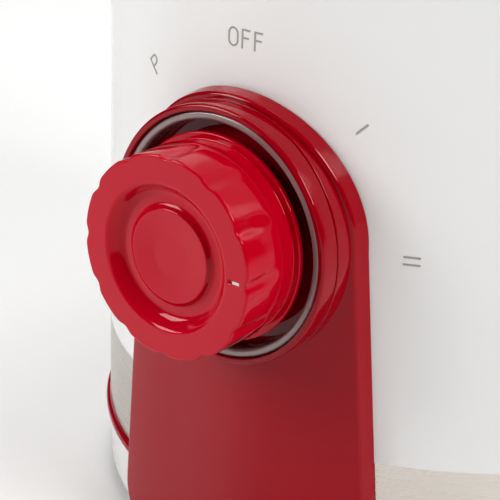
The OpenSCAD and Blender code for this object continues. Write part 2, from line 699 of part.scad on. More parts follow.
module motor_bracket() color("silver") on_axis() difference() {
    union() {
        translate([0, 0, bracket_z]) cylinder(r = motor_r, h = bracket_t);
        around(mount_n, 0, 90) translate([0, -6, bracket_z]) cube([mount_place_r, 12, bracket_t]);
        around(mount_n, mount_place_r, 90) translate([0, 0, bracket_z]) cylinder(r = 7, h = bracket_t);
    }
    translate([0, 0, bracket_z - 1]) cylinder(r = motor_shaft_r + 1, h = bracket_t + 2);
    around(mount_n, mount_place_r, 90) translate([0, 0, bracket_z - 1])
        cylinder(r = post_r - 0.5, h = bracket_t + 2);
    around(2, motor_r * 0.6, 60) translate([0, 0, bracket_z - 1])
        cylinder(r = screw_r + 0.2, h = bracket_t + 2);
}

// Rubber grommets carry the bracket on the posts and the fan housing on the bracket
module motor_mounts() color("dimgray") on_axis() around(mount_n, mount_place_r, 90) difference() {
    union() {
        translate([0, 0, bracket_z - 1.5]) cylinder(r = 7, h = 1.5);
        translate([0, 0, bracket_z - 1.5]) cylinder(r = post_r - 0.5, h = fan_floor_z - bracket_z + 1.5);
        translate([0, 0, bracket_z + bracket_t])
            cylinder(r = 7, h = fan_floor_z - bracket_z - bracket_t);
    }
    translate([0, 0, bracket_z - 3]) cylinder(r = screw_r + 0.2, h = fan_floor_z - bracket_z + 6);
}

module motor_screws() color("silver") on_axis() around(mount_n, mount_place_r, 90)
    translate([0, 0, fan_floor_z + fan_wall]) rotate([180, 0, 0])
        screw(fan_floor_z + fan_wall - bracket_z + 10);

// ---- Electrical pieces ----
board_x = -13;
board_y = -70;
board_lift = 4;
module rectifier_board() color("seagreen") on_axis()
translate([board_x, board_y, skirt_z + floor_t + board_lift]) {
    cube([26, 16, 1.6]);
    for (x = [4, 10, 16, 22]) translate([x, 4, 1.6]) cylinder(r = 1.4, h = 7);
    translate([6, 8, 1.6]) cube([12, 6, 5]);
}

module terminal_block() color("ivory") on_axis()
  translate([-16, body_r - 37, skirt_z + floor_t + 2]) difference() {
    cube([32, 16, 12]);
    for (i = [0 : 3]) translate([4 + i * 8, 8, 6]) {
        translate([0, -10, 0]) rotate([-90, 0, 0]) cylinder(r = 2, h = 20);
        cylinder(r = 1.6, h = 10);
    }
}

// Insulated leads inside the housing, each one tube swept along its own points
function ring_of(points, i) =
    let (d = points[min(i + 1, len(points) - 1)] - points[max(i - 1, 0)], u = d / norm(d),
        side = cross(u, abs(u[2]) < 0.8 ? [0, 0, 1] : [0, 1, 0]), a = side / norm(side), b = cross(u, a),
        turn = 360 / lead_sides)
    [for (k = [0 : lead_sides - 1]) points[i] + lead_r * (a * cos(k * turn) + b * sin(k * turn))];
// Each corner is cut by a quadratic curve, so the lead bends round it
function rounded(points) = [points[0], for (i = [1 : len(points) - 2], t = [0 : 0.25 : 1])
    let (a = (points[i - 1] + points[i]) / 2, b = (points[i + 1] + points[i]) / 2)
    if (i == 1 || t > 0) (1 - t) * (1 - t) * a + 2 * t * (1 - t) * points[i] + t * t * b,
    points[len(points) - 1]];
module lead(points) {
    path = rounded(points);
    n = len(path);
    m = lead_sides;
    polyhedron(points = [for (i = [0 : n - 1]) each ring_of(path, i)],
        faces = [[for (k = [0 : m - 1]) k], [for (k = [m - 1 : -1 : 0]) (n - 1) * m + k],
            for (i = [0 : n - 2], k = [0 : m - 1])
                [i * m + k, (i + 1) * m + k, (i + 1) * m + (k + 1) % m, i * m + (k + 1) % m]]);
}
lead_r = 1.1;
lead_sides = 8;
lead_y = body_r - 40;
lead_z = skirt_z + floor_t + 5;
lead_x = fan_house_r + 6;
module lead_set() color("crimson") on_axis() for (side = [-1, 1])
    lead([[side * 12, lead_y + 2.6, lead_z + 3], [side * 14, lead_y - 12, lead_z],
          [side * 50, lead_y - 14, lead_z], [side * lead_x, 0, lead_z], [side * lead_x, -20, dial_z - 40],
          [side * 24, -body_r - switch_back + 14, dial_z - 30],
          [side * 12, -body_r - switch_back + 8.6, dial_z - 12]]);

module cord_gland() color("dimgray") on_axis()
    translate([0, body_r - skirt_inset, skirt_z + skirt_h / 2]) rotate([-90, 0, 0]) difference() {
        union() {
            translate([0, 0, -wall - 6]) cylinder(r = gland_r, h = wall + 6 + 3);
            translate([0, 0, 0.3]) cylinder(r = gland_r + 1.6, h = gland_out + skirt_inset - 2.3);
            translate([0, 0, gland_out + skirt_inset - 2])
                cylinder(r1 = gland_r + 1.6, r2 = gland_r + 0.4, h = 2);
            translate([0, 0, -wall - 2.6]) cylinder(r = gland_r + 0.8, h = 2);
        }
        translate([0, 0, -20]) cylinder(r = cord_r, h = 40);
    }

// ---- Hood and measuring cup ----
// Side view of the chute, forwards and up: its floor leaves the hood level and falls towards the lip
module chute_side(inset) polygon([[chute_reach + 5, mouth_z + inset],
    [chute_reach + 5, mouth_z + chute_mouth_h - inset], [hood_top_r * 0.9, hood_top_z - chute_roof - inset],
    [0, hood_top_z - chute_roof - inset], [0, mouth_z + chute_drop + inset],
    [hood_r * 0.8, mouth_z + chute_drop + inset]]);
module chute_block(inset) rotate([90, 0, -90]) translate([0, 0, -chute_w / 2 + inset])
    linear_extrude(chute_w - 2 * inset) chute_side(inset);
// The hood's round form; the one taken away to leave its wall runs on below the rim
module hood_form(inset, rim_z) rotate_extrude() polygon([[0, rim_z], [hood_r - inset, rim_z],
    [hood_r - inset, deck_z + hood_foot], [hood_top_r + 6 - inset, hood_top_z - 8],
    [hood_top_r - inset, hood_top_z - inset], [0, hood_top_z - inset]]);
module hood() color("lightblue", 0.5) on_axis() difference() {
    union() {
        hood_form(0, deck_z + 0.2);
        intersection() {
            chute_block(0);
            translate([-chute_w / 2, -chute_reach, deck_z]) cube([chute_w, chute_reach, hood_h]);
        }
        translate([0, 0, hood_top_z - eps])
            tube(cup_r + cup_wall + 4, cup_r + loose_fit, cup_seat_h);
    }
    hood_form(hood_wall, deck_z - 1);
    chute_block(hood_wall);
    translate([0, 0, hood_top_z - 10]) cylinder(r = cup_r + loose_fit, h = 20);
}

// Ribbed grip pads on the two sides of the hood
module hood_grips() color("firebrick") on_axis() for (side = [0, 180]) rotate([0, 0, side])
    difference() {
        union() {
            translate([hood_r - 8, -grip_w / 2, grip_z]) cube([8 + grip_out, grip_w, grip_h]);
            for (i = [-3 : 3]) translate([hood_r + grip_out - eps, i * 5.5 - 1, grip_z])
                cube([1.2, 2, grip_h]);
        }
        translate([0, 0, grip_z - 1]) cylinder(r = hood_r, h = grip_h + 2);
    }

module measuring_cup() color("firebrick") on_axis() translate([0, 0, hood_top_z + cup_seat_h])
    rotate_extrude() polygon([[0, 2 - cup_h], [cup_r - 5, 2 - cup_h], [cup_r - 1, 6 - cup_h],
        [cup_r, 0.2], [cup_r + cup_rim, 0.2], [cup_r + cup_rim, 2.6], [cup_r - cup_wall, 2.6],
        [cup_r - cup_wall - 1, 7 - cup_h + cup_wall], [cup_r - 5 - cup_wall, 2 - cup_h + cup_wall],
        [0, 2 - cup_h + cup_wall]]);

housing();
lower_housing();
steel_band();
base_ring();
bottom_cover();
feet();
base_screws();
control_panel();
panel_screws();
dial_collar();
dial_ring();
dial_marks();
knob();
knob_clip();
switch_shaft();
switch_cam();
switch_body();
switch_cover();
switch_contacts();
switch_nut();
detent_ball();
detent_spring();
top_deck();
top_trim();
deck_screws();
popping_chamber();
chamber_seal();
heater_shell();
heater_former();
heater_coil();
thermostat();
thermal_fuse();
fan_housing();
fan_wheel();
fan_nut();
motor_shaft();
armature();
commutator();
motor_can();
motor_end_cap();
upper_bearing();
lower_bearing();
brushes();
motor_bracket();
motor_mounts();
motor_screws();
rectifier_board();
terminal_block();
lead_set();
cord_gland();
hood();
hood_grips();
measuring_cup();
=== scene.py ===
import math

import bmesh
import bpy
import numpy as np
from mathutils import Matrix, Vector


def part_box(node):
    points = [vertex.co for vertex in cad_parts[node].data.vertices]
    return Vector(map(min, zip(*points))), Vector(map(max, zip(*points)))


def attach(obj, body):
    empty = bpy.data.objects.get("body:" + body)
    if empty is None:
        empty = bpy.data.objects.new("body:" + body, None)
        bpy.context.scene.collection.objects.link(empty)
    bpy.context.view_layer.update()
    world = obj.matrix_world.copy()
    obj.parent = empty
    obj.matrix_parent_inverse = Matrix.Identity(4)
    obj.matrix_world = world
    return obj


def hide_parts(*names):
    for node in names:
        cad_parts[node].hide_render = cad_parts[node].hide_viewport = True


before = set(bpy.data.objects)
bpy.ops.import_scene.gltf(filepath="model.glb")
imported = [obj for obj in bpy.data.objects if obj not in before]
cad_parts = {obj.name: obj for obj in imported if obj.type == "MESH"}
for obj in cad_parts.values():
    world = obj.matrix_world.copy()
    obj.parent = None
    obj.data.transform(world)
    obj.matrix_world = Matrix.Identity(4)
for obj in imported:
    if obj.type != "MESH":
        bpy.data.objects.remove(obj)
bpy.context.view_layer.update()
mm = 0.001

# ---- Camera ----
# A long lens looks down on the dial from the right, rolled by about two degrees. It is aimed just below
# the middle of the dial, which looks out of the housing's front, towards -Y.
knob_low, knob_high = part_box("knob")
dial_z = (knob_low.z + knob_high.z) / 2
front_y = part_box("housing")[0].y
azimuth = math.radians(37.85)
elevation = math.radians(22.44)
roll = math.radians(1.98)
distance = 394.7 * mm
aim = Vector((3.11 * mm, front_y, dial_z - 5.28 * mm))


def placed(name, data):
    """An object for a camera, a lamp or a mesh, linked into the scene."""
    made = bpy.data.objects.new(name, data)
    bpy.context.scene.collection.objects.link(made)
    return made


level = math.cos(elevation)
back = Vector((math.sin(azimuth) * level, -math.cos(azimuth) * level, math.sin(elevation)))
side = Vector((math.cos(azimuth), math.sin(azimuth), 0))
over = back.cross(side)
lens = bpy.data.cameras.new("camera")
lens.lens = 119.8
lens.sensor_width = 36
lens.clip_end = 20
camera = placed("camera", lens)
rolled_side = side * math.cos(roll) + over * math.sin(roll)
rolled_over = over * math.cos(roll) - side * math.sin(roll)
turn = Matrix((rolled_side, rolled_over, back)).transposed()
camera.matrix_world = Matrix.Translation(aim + back * distance) @ turn.to_4x4()
bpy.context.scene.camera = camera
bpy.context.scene.view_settings.view_transform = "Standard"
bpy.context.scene.view_settings.look = "Medium High Contrast"

# ---- Studio ----
# A pale table top in a dark room with soft lamps: the key from the front right, one from the left, one
# overhead that only lights, and a white screen behind on the left, which the gloss of the knob picks up.
world = bpy.data.worlds.new("studio")
bpy.context.scene.world = world
world.use_nodes = True
room = world.node_tree
lit_room = room.nodes["Background"]
lit_room.inputs["Color"].default_value = (0.95, 0.96, 1, 1)
lit_room.inputs["Strength"].default_value = 0.04
seen_room = room.nodes.new("ShaderNodeBackground")
seen_room.inputs["Color"].default_value = (0.93, 0.93, 0.92, 1)
rays = room.nodes.new("ShaderNodeLightPath")
either = room.nodes.new("ShaderNodeMixShader")
room.links.new(rays.outputs["Is Camera Ray"], either.inputs[0])
room.links.new(lit_room.outputs[0], either.inputs[1])
room.links.new(seen_room.outputs[0], either.inputs[2])
room.links.new(either.outputs[0], room.nodes["World Output"].inputs["Surface"])


def lamp(name, place, target, width, height, watts):
    """A soft rectangular lamp at place that faces target."""
    data = bpy.data.lights.new(name, "AREA")
    data.shape = "RECTANGLE"
    data.size = width
    data.size_y = height
    data.energy = watts
    made = placed(name, data)
    facing = (Vector(target) - Vector(place)).to_track_quat("-Z", "Y").to_matrix()
    made.matrix_world = Matrix.Translation(place) @ facing.to_4x4()
    return made


lamp("key_softbox", (1.15, -0.15, 1.0), (0, 0, 0.1), 0.6, 0.6, 13.6)
lamp("left_softbox", (-0.85, -0.95, 0.75), (0, 0, 0.1), 0.6, 0.8, 11.8)
overhead = lamp("overhead_softbox", (0, 0.15, 1.4), (0, 0, 0), 0.9, 0.9, 7.8)
overhead.visible_glossy = False
lamp("back_screen", (-0.9, 1.1, 0.6), (0, 0, 0.15), 1.0, 0.7, 4.6)


def shader(name):
    made = bpy.data.materials.new(name)
    made.use_nodes = True
    return made, made.node_tree, made.node_tree.nodes["Principled BSDF"]


def noise(tree, coordinates, scale, detail=2.0, stretch=None):
    if stretch is not None:
        mapping = tree.nodes.new("ShaderNodeMapping")
        mapping.inputs["Scale"].default_value = stretch
        tree.links.new(coordinates, mapping.inputs["Vector"])
        coordinates = mapping.outputs["Vector"]
    made = tree.nodes.new("ShaderNodeTexNoise")
    made.inputs["Scale"].default_value = scale
    made.inputs["Detail"].default_value = detail
    tree.links.new(coordinates, made.inputs["Vector"])
    return made.outputs["Fac"]


def span(tree, value, low, high):
    """Spreads the middle of a noise over the values from low to high."""
    made = tree.nodes.new("ShaderNodeMapRange")
    made.inputs["From Min"].default_value = 0.3
    made.inputs["From Max"].default_value = 0.7
    made.inputs["To Min"].default_value = low
    made.inputs["To Max"].default_value = high
    tree.links.new(value, made.inputs["Value"])
    return made.outputs["Result"]


def raised(tree, face, height, strength, distance):
    """Lifts the surface by a height."""
    made = tree.nodes.new("ShaderNodeBump")
    made.inputs["Strength"].default_value = strength
    made.inputs["Distance"].default_value = distance
    tree.links.new(height, made.inputs["Height"])
    tree.links.new(made.outputs["Normal"], face.inputs["Normal"])


def moulded(name, colour, roughness, ripple=0.02, grain=900.0, drift=0.06, metal=0.0, shine=0.5,
            stretch=None, spread=0.05):
    """A finish whose colour and gloss drift a little over the piece, over a fine grain that lifts it."""
    made, tree, face = shader(name)
    place = tree.nodes.new("ShaderNodeTexCoord").outputs["Object"]
    mix = tree.nodes.new("ShaderNodeMix")
    mix.data_type = "RGBA"
    mix.inputs["A"].default_value = (*[c * (1 - drift) for c in colour], 1)
    mix.inputs["B"].default_value = (*[min(1, c * (1 + drift)) for c in colour], 1)
    tree.links.new(noise(tree, place, 14.0), mix.inputs["Factor"])
    tree.links.new(mix.outputs["Result"], face.inputs["Base Color"])
    grains = noise(tree, place, grain, 3.0, stretch)
    smoothest = max(0.02, roughness - spread)
    tree.links.new(span(tree, grains, smoothest, roughness + spread), face.inputs["Roughness"])
    raised(tree, face, grains, ripple, 0.2 * mm)
    face.inputs["Metallic"].default_value = metal
    face.inputs["Specular IOR Level"].default_value = shine
    return made


table_half = 6
table_z = -0.2 * mm
mesh = bpy.data.meshes.new("table")
signs = [(-1, -1), (1, -1), (1, 1), (-1, 1)]
mesh.from_pydata([(table_half * x, table_half * y, table_z) for x, y in signs], [], [(0, 1, 2, 3)])
mesh.materials.append(moulded("table_top", (0.86, 0.855, 0.845), 0.42, grain=300, drift=0.006))
placed("table", mesh)


# ---- Housing, top deck and bottom cover ----
# Glossy white ABS mouldings with the faint ripple of a moulded skin. The housing is one tube with round
# vents at the back, the deck drops into its top and the cover is screwed up from below. The lower
# housing, which the steel band covers, is plain grey.
def paint(material, *names):
    for name in names:
        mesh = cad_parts[name].data
        mesh.materials.clear()
        mesh.materials.append(material)


white_gloss = moulded("white_gloss_abs", (0.80, 0.80, 0.79), 0.14, grain=260, drift=0.01)
paint(white_gloss, "housing", "top_deck", "bottom_cover")
inner_grey = moulded("grey_abs", (0.42, 0.42, 0.42), 0.45, ripple=0.12, grain=1500, drift=0.03)
paint(inner_grey, "lower_housing")

# ---- Steel band ----
# A strip of satin stainless steel, rolled to the body's curve and wrapped round the lower housing. Its
# brushing runs round the body.
satin_steel = moulded("satin_steel", (0.66, 0.62, 0.575), 0.24, ripple=0.10, grain=1.0, drift=0.03,
                      metal=1.0, stretch=(40, 40, 2600), spread=0.07)
satin_steel.node_tree.nodes["Principled BSDF"].inputs["Anisotropic"].default_value = 0.5
paint(satin_steel, "steel_band")


# ---- Red rings ----
# A thin ring of gloss red ABS under the steel band and another round the top. Both stand a little proud,
# and their outer edges are rounded. The lower one stops at the control panel.
def rounded(corners, closed=False, steps=6):
    """The outline through corners (across, up, radius), with an arc of that radius at each."""
    count = len(corners)
    outline = []
    for i, (x, y, radius) in enumerate(corners):
        here = np.array((x, y))
        if radius <= 0 or (not closed and i in (0, count - 1)):
            outline.append(tuple(here))
            continue
        before = np.array(corners[i - 1][:2]) - here
        after = np.array(corners[(i + 1) % count][:2]) - here
        a = before / np.linalg.norm(before)
        b = after / np.linalg.norm(after)
        half = math.acos(float(np.clip(a @ b, -1, 1))) / 2
        reach = radius / math.tan(half)
        middle = here + (a + b) / np.linalg.norm(a + b) * radius / math.sin(half)
        start = here + a * reach - middle
        end = here + b * reach - middle
        angle = math.atan2(start[0] * end[1] - start[1] * end[0], start @ end)
        for k in range(steps + 1):
            t = angle * k / steps
            outline.append((middle[0] + start[0] * math.cos(t) - start[1] * math.sin(t),
                            middle[1] + start[0] * math.sin(t) + start[1] * math.cos(t)))
    return outline


def turned(profile, steps=256, start=0.0, sweep=2 * math.pi, closed=True):
    """Vertices and faces of a profile (radius, height) turned round +Z. A part turn gets its end faces."""
    whole = abs(sweep - 2 * math.pi) < 1e-6
    turns = [start + sweep * k / steps for k in range(steps if whole else steps + 1)]
    vertices = [(r * math.cos(t), r * math.sin(t), z) for t in turns for r, z in profile]
    n = len(profile)
    around = len(turns)
    faces = []
    for k in range(steps):
        here = k * n
        there = ((k + 1) % around) * n
        for i in range(n if closed else n - 1):
            j = (i + 1) % n
            faces.append((here + i, there + i, there + j, here + j))
    if not whole:
        faces += [tuple(range(n - 1, -1, -1)), tuple(range((around - 1) * n, around * n))]
    return vertices, faces


def settle(made, body, slot, *nodes):
    """Rides a finished piece on its body in the CAD nodes' stead."""
    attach(made, body)
    if nodes:
        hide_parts(*nodes)


def piece(name, vertices, faces, place, material=None, body=None, slot=None, *nodes):
    """A mesh with clean, outward faces at its place. With a body it is a finished piece."""
    mesh = bpy.data.meshes.new(name)
    mesh.from_pydata([tuple(v) for v in vertices], [], [tuple(f) for f in faces])
    mesh.transform(place)
    tidy = bmesh.new()
    tidy.from_mesh(mesh)
    bmesh.ops.remove_doubles(tidy, verts=tidy.verts, dist=2e-6)
    bmesh.ops.recalc_face_normals(tidy, faces=tidy.faces)
    tidy.to_mesh(mesh)
    tidy.free()
    mesh.shade_smooth()
    made = placed(name, mesh)
    if material is not None:
        mesh.materials.append(material)
    if body is not None:
        settle(made, body, slot, *nodes)
    return made


def ring_section(inner, outer, bottom, top, lip=0.0):
    """The section of a ring with a rounded outside; lip rounds the top of its inside."""
    return rounded([(inner, bottom, 0), (outer, bottom, 0.9 * mm), (outer, top, 1.2 * mm), (inner, top, lip)],
                   closed=True)


red_gloss = moulded("red_gloss_abs", (0.32, 0.0, 0.010), 0.07, ripple=0.008, grain=320, drift=0.03,
                    shine=0.3, spread=0.02)
shell_low, shell_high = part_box("housing")
body_r = (shell_high.x - shell_low.x) / 2
axis_y = (shell_high.y + shell_low.y) / 2
upright = Matrix.Translation((0, axis_y, 0))
low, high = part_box("base_ring")
ring_r = (high.x - low.x) / 2
panel_gap = 0.4 * mm
gap = math.asin((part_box("control_panel")[1].x + panel_gap) / ring_r)
section = ring_section(body_r - 0.55 * mm, ring_r, low.z, high.z)
shape = turned(section, 300, gap - math.pi / 2, 2 * math.pi - 2 * gap)
piece("base_ring_moulding", *shape, upright, red_gloss, "body", "red_gloss", "base_ring")
low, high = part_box("top_trim")
trim_r = (high.x - low.x) / 2
section = ring_section(body_r - 2.85 * mm, trim_r, low.z, high.z, 0.2 * mm)
piece("top_trim_moulding", *turned(section, 320), upright, red_gloss, "body", "red_gloss", "top_trim")

# ---- Control panel ----
# One gloss red moulding: an arch round the dial and a tongue that widens down to the table. Its face
# follows the body's curve, its edges are rounded, and a flat boss carries the collar. Four screw bosses
# stand behind it and the switch's bush passes through the middle.
low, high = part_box("control_panel")
face_r = body_r + 4.5 * mm
rear_r = body_r + 0.3 * mm
arch_up = 0.8 * mm
arch_r = high.z - dial_z - arch_up
tongue_end = low.z - dial_z
corner_r = 13 * mm
foot_half = high.x
draft = 0.45 * mm
rim_r = 0.9 * mm
columns = 72
# Local +Z comes out of the dial's face and local +Y points up
on_dial = Matrix(((1, 0, 0, 0), (0, 0, -1, front_y), (0, 1, 0, dial_z), (0, 0, 0, 1)))


def panel_edge(inset):
    """The right-hand half of the outline, from the arch's top to the bottom corner, taken in by inset."""
    edge = []
    for a in np.linspace(0, math.pi / 2, 49):
        edge.append(((arch_r - inset) * math.sin(a), arch_up + (arch_r - inset) * math.cos(a)))
    end_y = tongue_end + corner_r
    for t in np.linspace(0, 1, 25)[1:]:
        edge.append((arch_r + (foot_half - arch_r) * t - inset, arch_up + (end_y - arch_up) * t))
    for a in np.linspace(0, math.pi / 2, 17)[1:]:
        turn_r = corner_r - inset
        edge.append((foot_half - corner_r + turn_r * math.cos(a), end_y - turn_r * math.sin(a)))
    return edge


def on_body(x, radius):
    """How far a round face of that radius stands forward of the body's front line at x."""
    return math.sqrt(radius * radius - x * x) - body_r


def panel_sheet(inset, radius, sink, flip):
    """A face of the panel as rows of points across it, and the loop of points round its edge."""
    rows = []
    for x, y in panel_edge(inset):
        row = []
        for k in range(columns + 1):
            across = x * (2 * k / columns - 1)
            row.append(len(vertices))
            vertices.append((across, y, on_body(across, radius) - sink))
        rows.append(row)
    for upper, lower in zip(rows, rows[1:]):
        for k in range(columns):
            quad = (lower[k], lower[k + 1], upper[k + 1], upper[k])
            faces.append(quad[::-1] if flip else quad)
    return [r[-1] for r in rows] + rows[-1][-2:0:-1] + [r[0] for r in reversed(rows)]


def panel_loop(inset, radius, sink):
    """A loop of points round the panel, taken in by inset."""
    edge = panel_edge(inset)
    bottom_x, bottom_y = edge[-1]
    points = list(edge)
    points += [(bottom_x * (2 * k / columns - 1), bottom_y) for k in range(columns - 1, 0, -1)]
    points += [(-x, y) for x, y in reversed(edge)]
    first = len(vertices)
    vertices.extend((x, y, on_body(x, radius) - sink) for x, y in points)
    return list(range(first, first + len(points)))


vertices = []
faces = []
loops = [panel_sheet(0, rear_r, 0, True)]
for a in np.linspace(0, math.pi / 2, 9)[:-1]:
    loops.append(panel_loop(draft + rim_r * (1 - math.cos(a)), face_r, rim_r * (1 - math.sin(a))))
loops.append(panel_sheet(draft + rim_r, face_r, 0, False))
for outer, inner in zip(loops, loops[1:]):
    for k in range(len(outer) - 1):
        faces.append((outer[k], outer[k + 1], inner[k + 1], inner[k]))
plate = piece("plate", vertices, faces, on_dial)


def plain_mesh(made):
    """The mesh of an object with its modifiers worked in."""
    bpy.context.view_layer.update()
    return bpy.data.meshes.new_from_object(made.evaluated_get(bpy.context.evaluated_depsgraph_get()))


def joined(name, base, others, operation):
    """base with each of the others added or cut away as solids; the others are used up."""
    for other in others:
        step = base.modifiers.new("solid", "BOOLEAN")
        step.operation = operation
        step.object = other
        step.solver = "EXACT"
    mesh = plain_mesh(base)
    for used in [base, *others]:
        bpy.data.objects.remove(used)
    return placed(name, mesh)


def spun(name, profile, steps, place):
    """A plain solid of revolution for joining; its profile starts and ends on the axis."""
    return piece(name, *turned(profile, steps, closed=False), place)


def islands(name):
    """The box of each separate solid of a CAD node."""
    whole_mesh = bmesh.new()
    whole_mesh.from_mesh(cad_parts[name].data)
    bmesh.ops.remove_doubles(whole_mesh, verts=whole_mesh.verts, dist=1e-6)
    left = set(whole_mesh.verts)
    found = []
    while left:
        group = set()
        waiting = [left.pop()]
        while waiting:
            vert = waiting.pop()
            group.add(vert)
            for e in vert.link_edges:
                other = e.other_vert(vert)
                if other in left:
                    left.discard(other)
                    waiting.append(other)
        points = np.array([v.co for v in group])
        found.append((points.min(0), points.max(0)))
    whole_mesh.free()
    return sorted(found, key=lambda b: tuple(np.round(b[0], 5)))


collar_low, collar_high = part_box("dial_collar")
collar_r = (collar_high.x - collar_low.x) / 2
collar_reach = front_y - collar_low.y
boss_reach = front_y - collar_high.y
boss_sink = -7 * mm
boss_profile = rounded([
    (0, boss_sink, 0), (arch_r - 2 * mm, boss_sink, 0), (collar_r + 0.3 * mm, boss_reach, 0.25 * mm),
    (0, boss_reach, 0),
])
boss = spun("boss", boss_profile, 288, on_dial)
# The round body inside the panel, which the boss stops at
core_profile = [(0, -20 * mm), (rear_r, -20 * mm), (rear_r, 200 * mm), (0, 200 * mm)]
core = spun("core", core_profile, 400, upright)
boss = joined("boss", boss, [core], "DIFFERENCE")
bush_r = 5.15 * mm
bush = spun("bush", [(0, -9 * mm), (bush_r, -9 * mm), (bush_r, 9 * mm), (0, 9 * mm)], 64, on_dial)
post_r = 4 * mm
post_length = 5.5 * mm
screw_head = 2 * mm
posts = []
for low_corner, high_corner in islands("panel_screws"):
    middle = (low_corner + high_corner) / 2
    place = Matrix.Translation((middle[0], high_corner[1] - screw_head, middle[2]))
    place = place @ Matrix.Rotation(math.pi / 2, 4, "X")
    post = rounded([(0, 0, 0), (post_r, 0, 0.3 * mm), (post_r, post_length, 0), (0, post_length, 0)])
    posts.append(spun("post", post, 48, place))
panel = joined("panel_whole", plate, [boss, *posts], "UNION")
panel = joined("control_panel_moulding", panel, [bush], "DIFFERENCE")
panel.data.materials.clear()
panel.data.materials.append(red_gloss)
panel.data.shade_smooth()
panel.data.set_sharp_from_angle(angle=math.radians(32))
settle(panel, "body", "red_gloss", "control_panel")

# ---- Dial collar and its grey ring ----
# The collar is a gloss red ring that seats on the panel's boss; a narrow joint line shows between them.
# A satin grey ring is pressed inside its lip and frames the knob.
low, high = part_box("dial_ring")
ring_out = (high.x - low.x) / 2
ring_front = front_y - low.y
ring_back = front_y - high.y
ring_in = ring_out - 2.05 * mm
lip_r = ring_out + 0.12 * mm
section = rounded([
    (ring_in, boss_reach, 0.1 * mm), (collar_r, boss_reach, 0.18 * mm), (collar_r, collar_reach, 0.75 * mm),
    (lip_r, collar_reach, 0.35 * mm), (lip_r, ring_back, 0), (ring_in, ring_back, 0.1 * mm),
], closed=True)
piece("dial_collar_ring", *turned(section, 320), on_dial, red_gloss, "body", "red_gloss", "dial_collar")
grey_satin = moulded("grey_satin_ring", (0.30, 0.25, 0.245), 0.30, ripple=0.004, grain=260, drift=0.05,
                     metal=0.25, spread=0.03)
section = rounded([
    (ring_in, ring_back, 0), (ring_out, ring_back, 0), (ring_out, ring_front, 0.7 * mm),
    (ring_in, ring_front, 0.8 * mm),
], closed=True)
piece("grey_dial_ring", *turned(section, 320), on_dial, grey_satin, "body", "grey_satin", "dial_ring")

# ---- Setting marks ----
# The letters and strokes round the dial, pad-printed on the housing in warm grey ink. The ink is matt
# against the gloss of the white.
ink = moulded("grey_ink", (0.36, 0.35, 0.32), 0.5, ripple=0.06, grain=2500, drift=0.08)
paint(ink, "dial_marks")

# ---- Knob ----
# A gloss red moulding with twelve shallow flutes that fade towards the back, a dished face round a
# raised middle, and a thin skirt behind. It is hollow, with a hub that grips the switch's shaft. The
# pointer is a short dash pressed into the face. A pale block in its outer part is painted highlight,
# standing in for light caught on the dash's edges.
knob_reach = front_y - knob_low.y
knob_r = 24.35 * mm
skirt_r = (knob_high.x - knob_low.x) / 2
skirt_back = front_y - knob_high.y
skirt_front = skirt_back + 1.4 * mm
grip_back = knob_reach - 13.1 * mm
neck_r = knob_r - 0.8 * mm
hub_r = 7 * mm
shaft_r = 3.2 * mm
shaft_end = front_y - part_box("switch_shaft")[0].y + 0.3 * mm
hollow_r = neck_r - 2 * mm
hollow_end = knob_reach - 5 * mm
knob_profile = rounded([
    (0, shaft_end, 0), (shaft_r, shaft_end, 0), (shaft_r, skirt_back, 0.2 * mm),
    (hub_r, skirt_back, 0.4 * mm), (hub_r, hollow_end, 1 * mm),
    (hollow_r, hollow_end, 1 * mm), (hollow_r, skirt_back, 0.2 * mm),
    (skirt_r, skirt_back, 0.3 * mm), (skirt_r, skirt_front, 0.35 * mm), (neck_r, skirt_front, 0.3 * mm),
    (neck_r, grip_back, 0.3 * mm), (knob_r, grip_back, 0.7 * mm), (knob_r, knob_reach, 0.55 * mm),
    (17.5 * mm, knob_reach, 1.5 * mm), (15.3 * mm, knob_reach - 3.1 * mm, 2.6 * mm),
    (12.0 * mm, knob_reach - 2.9 * mm, 1.4 * mm), (11.1 * mm, knob_reach - 1.7 * mm, 0.45 * mm),
    (5 * mm, knob_reach - 2.3 * mm, 12 * mm), (0, knob_reach - 2.35 * mm, 0),
], steps=7)


def finer(outline, step):
    """The outline with points added so that no stretch is longer than step."""
    made = [outline[0]]
    for a, b in zip(outline, outline[1:]):
        parts = max(1, math.ceil(math.dist(a, b) / step))
        for k in range(1, parts + 1):
            made.append((a[0] + (b[0] - a[0]) * k / parts, a[1] + (b[1] - a[1]) * k / parts))
    return made


def nodes_tree(name, inputs):
    """A geometry node tree with a geometry input and the named inputs (name, socket type, value)."""
    tree = bpy.data.node_groups.new(name, "GeometryNodeTree")
    tree.interface.new_socket("Geometry", in_out="INPUT", socket_type="NodeSocketGeometry")
    for label, kind, value in inputs:
        socket = tree.interface.new_socket(label, in_out="INPUT", socket_type=kind)
        if value is not None:
            socket.default_value = value
    tree.interface.new_socket("Geometry", in_out="OUTPUT", socket_type="NodeSocketGeometry")
    return tree, tree.nodes.new("NodeGroupInput"), tree.nodes.new("NodeGroupOutput")


def feed(tree, socket, value):
    """Sets a socket to a number, or links another socket into it."""
    if isinstance(value, bpy.types.NodeSocket):
        tree.links.new(value, socket)
    else:
        socket.default_value = value


def sum_of(tree, operation, *values):
    """A math node; each value is a number or a socket."""
    made = tree.nodes.new("ShaderNodeMath")
    made.operation = operation
    for socket, value in zip(made.inputs, values):
        feed(tree, socket, value)
    return made.outputs[0]


def ease(tree, value, start, end):
    """A smooth rise from 0 at start to 1 at end."""
    made = tree.nodes.new("ShaderNodeMapRange")
    made.interpolation_type = "SMOOTHSTEP"
    feed(tree, made.inputs["Value"], value)
    feed(tree, made.inputs["From Min"], start)
    feed(tree, made.inputs["From Max"], end)
    return made.outputs["Result"]


def fall(tree, value, start, end):
    return sum_of(tree, "SUBTRACT", 1.0, ease(tree, value, start, end))


